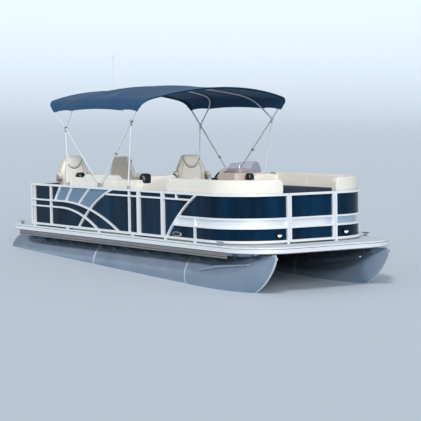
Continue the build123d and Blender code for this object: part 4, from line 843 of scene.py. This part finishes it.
# The screen: 5 mm smoked acrylic, bent round the helm's front and raked inwards to its top edge.
# It is clear enough to see the dash through, with a cool tint at its bends.
HELM_MIDDLE = 0.710
HELM_TOP = 0.870
SCREEN_FOOT = ((3.104, -0.262), (3.476, -0.219), (3.476, 0.219), (3.104, 0.262))
SCREEN_BEND = 0.070
SCREEN_HIGH = 0.174
SCREEN_LOW = 0.060
SCREEN_SLOPE_LONG = 0.21
SCREEN_DIP = 0.030
SCREEN_RAKE = 0.050
SCREEN_TAPER = 0.13
SCREEN_ROWS = 8
BEND_STEPS = 8
ACRYLIC_THICK = 0.005
plan = [SCREEN_FOOT[0]]
for before, corner, after in zip(SCREEN_FOOT, SCREEN_FOOT[1:], SCREEN_FOOT[2:]):
    corner = Vector(corner)
    enter = corner + (Vector(before) - corner).normalized() * SCREEN_BEND
    leave = corner + (Vector(after) - corner).normalized() * SCREEN_BEND
    for share in (step / BEND_STEPS for step in range(BEND_STEPS + 1)):
        plan.append(tuple(enter.lerp(corner, share).lerp(corner.lerp(leave, share), share)))
plan.append(SCREEN_FOOT[3])
fine_plan = []
for first, second in zip(plan, plan[1:]):
    pieces = max(1, round(math.dist(first, second) / 0.02))
    fine_plan += [tuple(Vector(first).lerp(Vector(second), step / pieces)) for step in range(pieces)]
fine_plan.append(plan[-1])
form = bmesh.new()
foot = [form.verts.new((x, y, 0)) for x, y in fine_plan]
line = [form.edges.new(pair) for pair in zip(foot, foot[1:])]
for row in range(SCREEN_ROWS):
    line, raised = edges_grown(form, line)
    for vertex in raised:
        vertex.co.z = (row + 1) / SCREEN_ROWS
for vertex in form.verts:
    x, y, share = vertex.co
    rise = min(1.0, (x - SCREEN_FOOT[0][0]) / SCREEN_SLOPE_LONG)
    height = SCREEN_LOW + (SCREEN_HIGH - SCREEN_LOW) * rise * rise * (3 - 2 * rise)
    height -= SCREEN_DIP * max(0.0, (abs(y) - 0.06) / 0.20) ** 2
    lean = share ** 2
    vertex.co = at(x - SCREEN_RAKE * lean * rise, HELM_MIDDLE + y * (1 - SCREEN_TAPER * lean),
                   HELM_TOP - 0.001 + height * share)
turn_out(form)
screen = place_piece(form, "smoked_screen", smoke, sharp=60)
thin_sheet(screen, ACRYLIC_THICK, -1)
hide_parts("windshield")

# The dash hood: a moulded eyebrow of the same gelcoat over the instruments, screwed down on the
# helm's top behind the screen.
HOOD_MIDDLE = 3.130
HOOD_HALF_LENGTH = 0.185
HOOD_HALF_WIDTH = 0.235
HOOD_RISE = 0.085
form = bmesh.new()
bmesh.ops.create_grid(form, x_segments=24, y_segments=28, size=1)
for vertex in form.verts:
    u, v = vertex.co.x, vertex.co.y
    rise = max(0.0, 1 - u ** 4) ** 0.5 * max(0.0, 1 - v ** 6) ** 0.5 * (0.72 - 0.28 * u)
    vertex.co = at(HOOD_MIDDLE + HOOD_HALF_LENGTH * u, HELM_MIDDLE + HOOD_HALF_WIDTH * v,
                   HELM_TOP - 0.002 + HOOD_RISE * rise)
for point in faces_grown(form):
    point.co.z = DECK_TOP + HELM_TOP - 0.006
turn_out(form)
place_piece(form, "dash_hood", gelcoat, sharp=70)

# Instruments: four dials with chrome rims and a row of rocker switches, set square into the
# raked dash. Their faces are plain black, and the switches are soft black rubber.
DASH_LOW = Vector((2.880, 0, 0.710))
DASH_HIGH = Vector((3.080, 0, 0.870))
dash_run = DASH_HIGH - DASH_LOW
dash_normal = Vector((-dash_run.z, 0, dash_run.x)).normalized()
dash_turn = dash_normal.to_track_quat("Z", "X").to_matrix().to_4x4()
CHROME = "#dfe3e6"
DIAL_BLACK = "#0d0e10"
# share of the way up the dash, distance from its middle, radius
DIALS = ((0.74, -0.200, 0.042), (0.74, 0.200, 0.042), (0.74, -0.100, 0.032), (0.74, 0.100, 0.032))
SWITCHES = 5
SWITCH_ROW = 0.40
SWITCH_FIRST = -0.200
SWITCH_PITCH = 0.034
SWITCH_SIZE = (0.034, 0.020, 0.012)
chrome = drawn_metal("chrome_bezel", CHROME, 0.08, 0.16)
dial_black = polished("black_dial_face", DIAL_BLACK, 500, 1, 0.3, 0.45)


def cone(form, segments, foot, head, depth, matrix):
    """Adds a capped cone between two radii."""
    bmesh.ops.create_cone(form, cap_ends=True, segments=segments, radius1=foot, radius2=head, depth=depth,
                          matrix=matrix)


def on_dash(share, across, lift):
    """The placing of something square to the raked dash, share of the way up it and lifted off it."""
    spot = DASH_LOW + dash_run * share + dash_normal * lift
    return Matrix.Translation(at(spot.x, HELM_MIDDLE + across, spot.z)) @ dash_turn


for index, (share, across, radius) in enumerate(DIALS):
    form = bmesh.new()
    cone(form, 40, radius, radius - 0.002, 0.010, on_dash(share, across, 0.004))
    lid = max(form.faces, key=lambda face: face.calc_center_median().dot(dash_normal))
    bmesh.ops.inset_region(form, faces=[lid], thickness=0.004)
    bmesh.ops.inset_region(form, faces=[lid], thickness=0.001)
    bmesh.ops.translate(form, verts=lid.verts, vec=-0.005 * dash_normal)
    place_piece(form, "dial_rim_%d" % (index + 1), chrome)
    form = bmesh.new()
    cone(form, 40, radius - 0.0055, radius - 0.0065, 0.002, on_dash(share, across, 0.0038))
    place_piece(form, "dial_face_%d" % (index + 1), dial_black)
for index in range(SWITCHES):
    form = bmesh.new()
    spot = on_dash(SWITCH_ROW, SWITCH_FIRST + SWITCH_PITCH * index, 0.004)
    bmesh.ops.create_cube(form, size=1, matrix=spot @ Matrix.Diagonal((*SWITCH_SIZE, 1)))
    round_edges(form, form.edges[:], 0.003, 3)
    place_piece(form, "rocker_switch_%d" % (index + 1), soft_black)


# Shade top: solution-dyed acrylic canvas, sewn in one sheet and stretched over four bows of
# 25 mm tube. It sags a little between the bows and pulls into folds at its corners.
CANVAS_NAVY = "#1a4063"
CANVAS_THREAD = "#27587e"
CANVAS_THICK = 0.0012
CANOPY_HALF = 1.285
CANOPY_CROWN = 2.215
CANOPY_HEM = 1.850
CANOPY_RISE = 0.190
CANOPY_SHOULDER = 0.190
CANOPY_MIDDLE = 2.150
CANOPY_ARC = 26.0
BOW_FOOT = 0.736
# station at the foot, station at the hem
MAIN_BOWS = ((2.216, 0.940), (2.264, 3.460))
# station and height of the jaw, station at the hem
INNER_BOWS = ((1.249, 1.580, 1.491), (3.278, 1.680, 2.984))
EDGE_REACH = 0.0267
CANOPY_SAG = 0.026
CANOPY_WAIST = 0.016
HEM_LIFT = 0.014
FOLDS = 15
FOLD_DEPTH = 0.0125
FOLD_REACH = 0.42
PULL_REACH = 0.6
# height where the sheet's side ends, and the height over which it turns into its top
SIDE_END, SIDE_BLEND = 1.95, 0.12


def canopy_point(lengthwise, across):
    """A point of the stretched sheet, and its run from hem to crown.

    lengthwise goes from 0 at its rear edge to 1, and across from -1 to 1.
    """
    out_y, out_z = 1.0, 0.0
    arch = (CANOPY_HALF ** 2 + CANOPY_RISE ** 2) / (2 * CANOPY_RISE)
    middle = CANOPY_CROWN - arch
    fillet_y = CANOPY_HALF - CANOPY_SHOULDER
    fillet_z = middle + math.sqrt((arch - CANOPY_SHOULDER) ** 2 - fillet_y ** 2)
    turn = math.atan2(fillet_z - middle, fillet_y)
    side = fillet_z - CANOPY_HEM
    runs = (side, CANOPY_SHOULDER * turn, arch * (math.pi / 2 - turn))
    along = (1 - abs(across)) * sum(runs)
    if along < runs[0]:
        y, z = CANOPY_HALF, CANOPY_HEM + along
    elif along < runs[0] + runs[1]:
        angle = (along - runs[0]) / CANOPY_SHOULDER
        out_y, out_z = math.cos(angle), math.sin(angle)
        y, z = fillet_y + CANOPY_SHOULDER * out_y, fillet_z + CANOPY_SHOULDER * out_z
    else:
        angle = turn + (along - runs[0] - runs[1]) / arch
        out_y, out_z = math.cos(angle), math.sin(angle)
        y, z = arch * out_y, middle + arch * out_z
    stations = [foot + (hem - foot) / (CANOPY_HEM - BOW_FOOT) * (z - BOW_FOOT) for foot, hem in MAIN_BOWS]
    inner = [jaw + (hem - jaw) / (CANOPY_HEM - height) * (z - height) for jaw, height, hem in INNER_BOWS]
    bows = [stations[0], inner[0], inner[1], stations[1]]
    x = bows[0] - EDGE_REACH + lengthwise * (bows[3] - bows[0] + 2 * EDGE_REACH)
    z -= CANOPY_ARC - math.sqrt(CANOPY_ARC ** 2 - (x - CANOPY_MIDDLE) ** 2)
    slackness = 0.0
    for rear, front in zip(bows, bows[1:]):
        if rear < x < front:
            share = (x - rear) / (front - rear)
            slackness = 4 * share * (1 - share)
    top_share = min(1.0, max(0.0, (z - SIDE_END) / SIDE_BLEND))
    z -= CANOPY_SAG * slackness * top_share
    y -= CANOPY_WAIST * slackness * (1 - top_share)
    z += HEM_LIFT * slackness * max(0.0, 1 - (z - CANOPY_HEM) / 0.1)
    for corner in (bows[0], bows[3]):
        reach = math.hypot(x - corner, along)
        fan = math.sin(FOLDS * math.atan2(along, abs(x - corner) + 0.001)) * math.exp(-reach / FOLD_REACH)
        fan *= min(1, reach / 0.1)
        pull = FOLD_DEPTH * (fan - 1) * math.exp(-reach / PULL_REACH)
        y += pull * out_y
        z += pull * out_z
    return x, math.copysign(y, across) if across else 0.0, z, sum(runs)


CANVAS_ROWS = 130
form = bmesh.new()
bmesh.ops.create_grid(form, x_segments=CANVAS_ROWS, y_segments=CANVAS_ROWS, size=1)
cloth_map = form.loops.layers.uv.new("cloth")
flat_place = {}
for vertex in form.verts:
    across = vertex.co.y
    x, y, z, half_width = canopy_point((vertex.co.x + 1) / 2, across)
    flat_place[vertex.index] = (x, across * half_width)
    vertex.co = at(x, y, z)
for face in form.faces:
    for loop in face.loops:
        loop[cloth_map].uv = flat_place[loop.vert.index]
turn_out(form)
if form.faces[len(form.faces) // 2].normal.z < 0:
    bmesh.ops.reverse_faces(form, faces=form.faces)
area = sum(face.calc_area() for face in form.faces)
canvas, tree, place = finish_named("navy_acrylic_canvas", "cloth")
warp, weft = (add(tree, "TexWave", {"Vector": place, "Scale": 80, "Distortion": 0.4}, wave_type="BANDS",
                  bands_direction=way).outputs["Fac"] for way in "XY")
crossed = add(tree, "Math", {0: warp, 1: weft}, operation="MULTIPLY")
folds = streaks(tree, place, (2.0, 9.0, 1), 2, turned=0.7)
folded = add(tree, "Bump", {"Height": folds, "Strength": 0.7, "Distance": 0.025})
surface(tree, {"Roughness": 0.85, "Specular IOR Level": 0.25, "Sheen Weight": 0.08,
               "Base Color": drift(tree, place, 1.6, 5, CANVAS_NAVY, CANVAS_THREAD),
               "Normal": add(tree, "Bump", {"Height": crossed, "Strength": 0.3, "Distance": 0.0006,
                                            "Normal": folded})})
canopy = place_piece(form, "shade_top_canvas", canvas, sharp=80)
thin_sheet(canopy, CANVAS_THICK, -1)
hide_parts("bimini_canopy")

# The pockets: the same canvas turned close round the rear and front bows and sewn, from hem to
# hem, so that the end bows don't show from above.
POCKET_CLOTH = 0.0018
POCKET_END = CANOPY_HEM - 0.020


def cut_away(form, spot, way):
    """Cuts off all of a form that lies beyond a spot."""
    everything = form.verts[:] + form.edges[:] + form.faces[:]
    bmesh.ops.bisect_plane(form, geom=everything, plane_co=spot, plane_no=way, clear_outer=True)


def close_holes(form):
    """Fills every open rim of a form."""
    bmesh.ops.holes_fill(form, edges=[edge for edge in form.edges if edge.is_boundary])


pockets = []
for name, station in (("canvas_pocket_rear", MAIN_BOWS[0][1]), ("canvas_pocket_front", MAIN_BOWS[1][1])):
    form = bmesh.new()
    form.from_mesh(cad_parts["bimini_main_bows"].data)
    bmesh.ops.remove_doubles(form, verts=form.verts, dist=0.0002)
    cut_away(form, at(0, 0, POCKET_END), (0, 0, -1))
    other_bow = [face for face in form.faces if abs(face.calc_center_median().x - at(station, 0, 0).x) > 1]
    bmesh.ops.delete(form, geom=other_bow, context="FACES")
    close_holes(form)
    turn_out(form)
    form.normal_update()
    outward = [vertex.normal.copy() for vertex in form.verts]
    for vertex, normal in zip(form.verts, outward):
        vertex.co += POCKET_CLOTH * normal
    pockets.append(place_piece(form, name, canvas, sharp=80))
for pocket in pockets:
    pocket_map = pocket.data.uv_layers.new(name="cloth")
    for loop in pocket.data.loops:
        spot = pocket.data.vertices[loop.vertex_index].co
        pocket_map.data[loop.index].uv = (spot.x + spot.z, spot.y)

BOW_WHITE = "#f3f5f7"
STAINLESS = "#c8cbcd"
bow_finish = drawn_metal("anodised_bow_tube", BOW_WHITE, 0.25, 0.36, 0.35)
dress(bow_finish, "bimini_main_bows", "bimini_inner_bows", "bimini_legs")
stainless = drawn_metal("polished_stainless_fitting", STAINLESS, 0.12, 0.24)
dress(stainless, "bimini_fittings", "cleats")

# Clamp knobs: small slides of polished stainless on the main bows, each with a thumb knob, where
# the travel straps are kept.
KNOB_RADIUS = 0.0185
# how far the main bows spread to each side over their straight rise
BOW_SPREAD, BOW_RISE = 0.052, 1.289
# name, side, height, which main bow
KNOBS = (("slide_knob_stbd", -1, 1.205, MAIN_BOWS[1]), ("slide_knob_port", 1, 1.205, MAIN_BOWS[1]),
         ("slide_knob_port_rear", 1, 1.065, MAIN_BOWS[0]))
for name, side, height, (foot, hem) in KNOBS:
    slope = (hem - foot) / (CANOPY_HEM - BOW_FOOT)
    beside = FENCE_FROM_CENTRE + BOW_SPREAD * (height - BOW_FOOT) / BOW_RISE
    middle = at(foot + slope * (height - BOW_FOOT), side * beside, height)
    along = Vector((slope, 0, 1)).to_track_quat("Z", "Y").to_matrix().to_4x4()
    thumb = middle + Vector((0.030, 0, -0.014))
    form = bmesh.new()
    cone(form, 28, KNOB_RADIUS, KNOB_RADIUS, 0.034, Matrix.Translation(middle) @ along)
    cone(form, 24, 0.008, 0.013, 0.030, Matrix.Translation(thumb) @ Matrix.Rotation(math.radians(100), 4, "Y"))
    round_edges(form, [e for e in form.edges if e.calc_face_angle() > 1], 0.002, 2)
    place_piece(form, name, stainless)

# Lamps: the all-round light's pole and housing in white moulded nylon, which has a soft shine,
# and the docking lamps' housings in the cup holders' black.
LAMP_WHITE = "#eeeeec"
LENS_CLEAR = "#fbfbf8"
lamp_white = pebbled("white_nylon_lamp_housing", LAMP_WHITE, 0.35, 200, 0.15, 0.0004)
dress(lamp_white, "light_pole")
dress(black_gloss, "docking_lights")

# Docking lamp lenses: half-domes of frosted clear plastic, pressed into the lower part of each
# black housing. Fine upright flutes spread their shine.
lens_finish, tree, place = finish_named("frosted_lamp_lens")
flutes = add(tree, "TexWave", {"Vector": place, "Scale": 70, "Distortion": 0.0}, wave_type="BANDS",
             bands_direction="Y").outputs["Fac"]
surface(tree, {"Base Color": LENS_CLEAR, "Roughness": 0.22,
               "Normal": add(tree, "Bump", {"Height": flutes, "Strength": 0.3, "Distance": 0.0008})})
LAMP_FACE = 5.990
LAMP_FROM_CENTRE = 0.564
LAMP_HEIGHT = 0.130
LENS_HALF_SIZE = (0.012, 0.036, 0.030)
for side, name in ((-1, "docking_lens_stbd"), (1, "docking_lens_port")):
    form = bmesh.new()
    bmesh.ops.create_uvsphere(form, u_segments=32, v_segments=20, radius=1)
    cut_away(form, (0, 0, 0.18), (0, 0, 1))
    close_holes(form)
    form.transform(Matrix.Translation(at(LAMP_FACE, side * LAMP_FROM_CENTRE, LAMP_HEIGHT - 0.002))
                   @ Matrix.Diagonal((*LENS_HALF_SIZE, 1)))
    turn_out(form)
    place_piece(form, name, lens_finish, sharp=50)

# Fence fittings on the starboard bow: a round cap on the silver band, and an oval flush lamp
# with a bright rim low on the sheet.
CAP_PLACE = (4.965, -PANEL_FROM_CENTRE - 0.008, 0.284)
FLUSH_LAMP_STATION = 4.400
FLUSH_LAMP_HEIGHT = 0.094
# name, half length, half height, depth, finish, slot
FLUSH_LAMP = (("flush_lamp_rim", 0.118, 0.036, 0.012, chrome, "fitting"),
              ("flush_lamp_face", 0.104, 0.028, 0.014, soft_black, "black_plastic"))
outwards = Matrix.Rotation(math.radians(90), 4, "X")
form = bmesh.new()
cone(form, 36, 0.027, 0.022, 0.016, Matrix.Translation(at(*CAP_PLACE)) @ outwards)
round_edges(form, [e for e in form.edges if e.calc_face_angle() > 0.8], 0.004, 3)
place_piece(form, "band_cap", chrome)
for name, half_length, half_height, depth, finish, slot in FLUSH_LAMP:
    form = bmesh.new()
    spot = Matrix.Translation(at(FLUSH_LAMP_STATION, -PANEL_FROM_CENTRE - depth / 2, FLUSH_LAMP_HEIGHT))
    cone(form, 48, 1, 0.9, depth, spot @ Matrix.Diagonal((half_length, 1, half_height, 1)) @ outwards)
    turn_out(form)
    place_piece(form, name, finish)


# Outboard: a moulded cowl in gloss black with a fine flake, over aluminium castings in satin
# black. The propeller is cast aluminium in a thinner black coat.
def motor_paint(name, dark, flake_tone, roughness, coat):
    """A sprayed black with a fine flake under its clear coat."""
    return mottled(name, dark, flake_tone, 350, 1,
                   {"Roughness": roughness, "Coat Weight": coat, "Coat Roughness": 0.08})


cowl_paint = motor_paint("gloss_black_cowl_paint", "#101113", "#1f2226", 0.25, 0.9)
casting_paint = motor_paint("satin_black_casting_paint", "#1b1c1e", "#292b2e", 0.42, 0.2)
propeller_paint = motor_paint("thin_black_propeller_coat", "#232527", "#3a3d40", 0.34, 0.3)
dress(cowl_paint, "outboard_cowl")
dress(casting_paint, "outboard_clamp", "outboard_swivel", "outboard_leg", "outboard_engine")
dress(propeller_paint, "outboard_propeller")
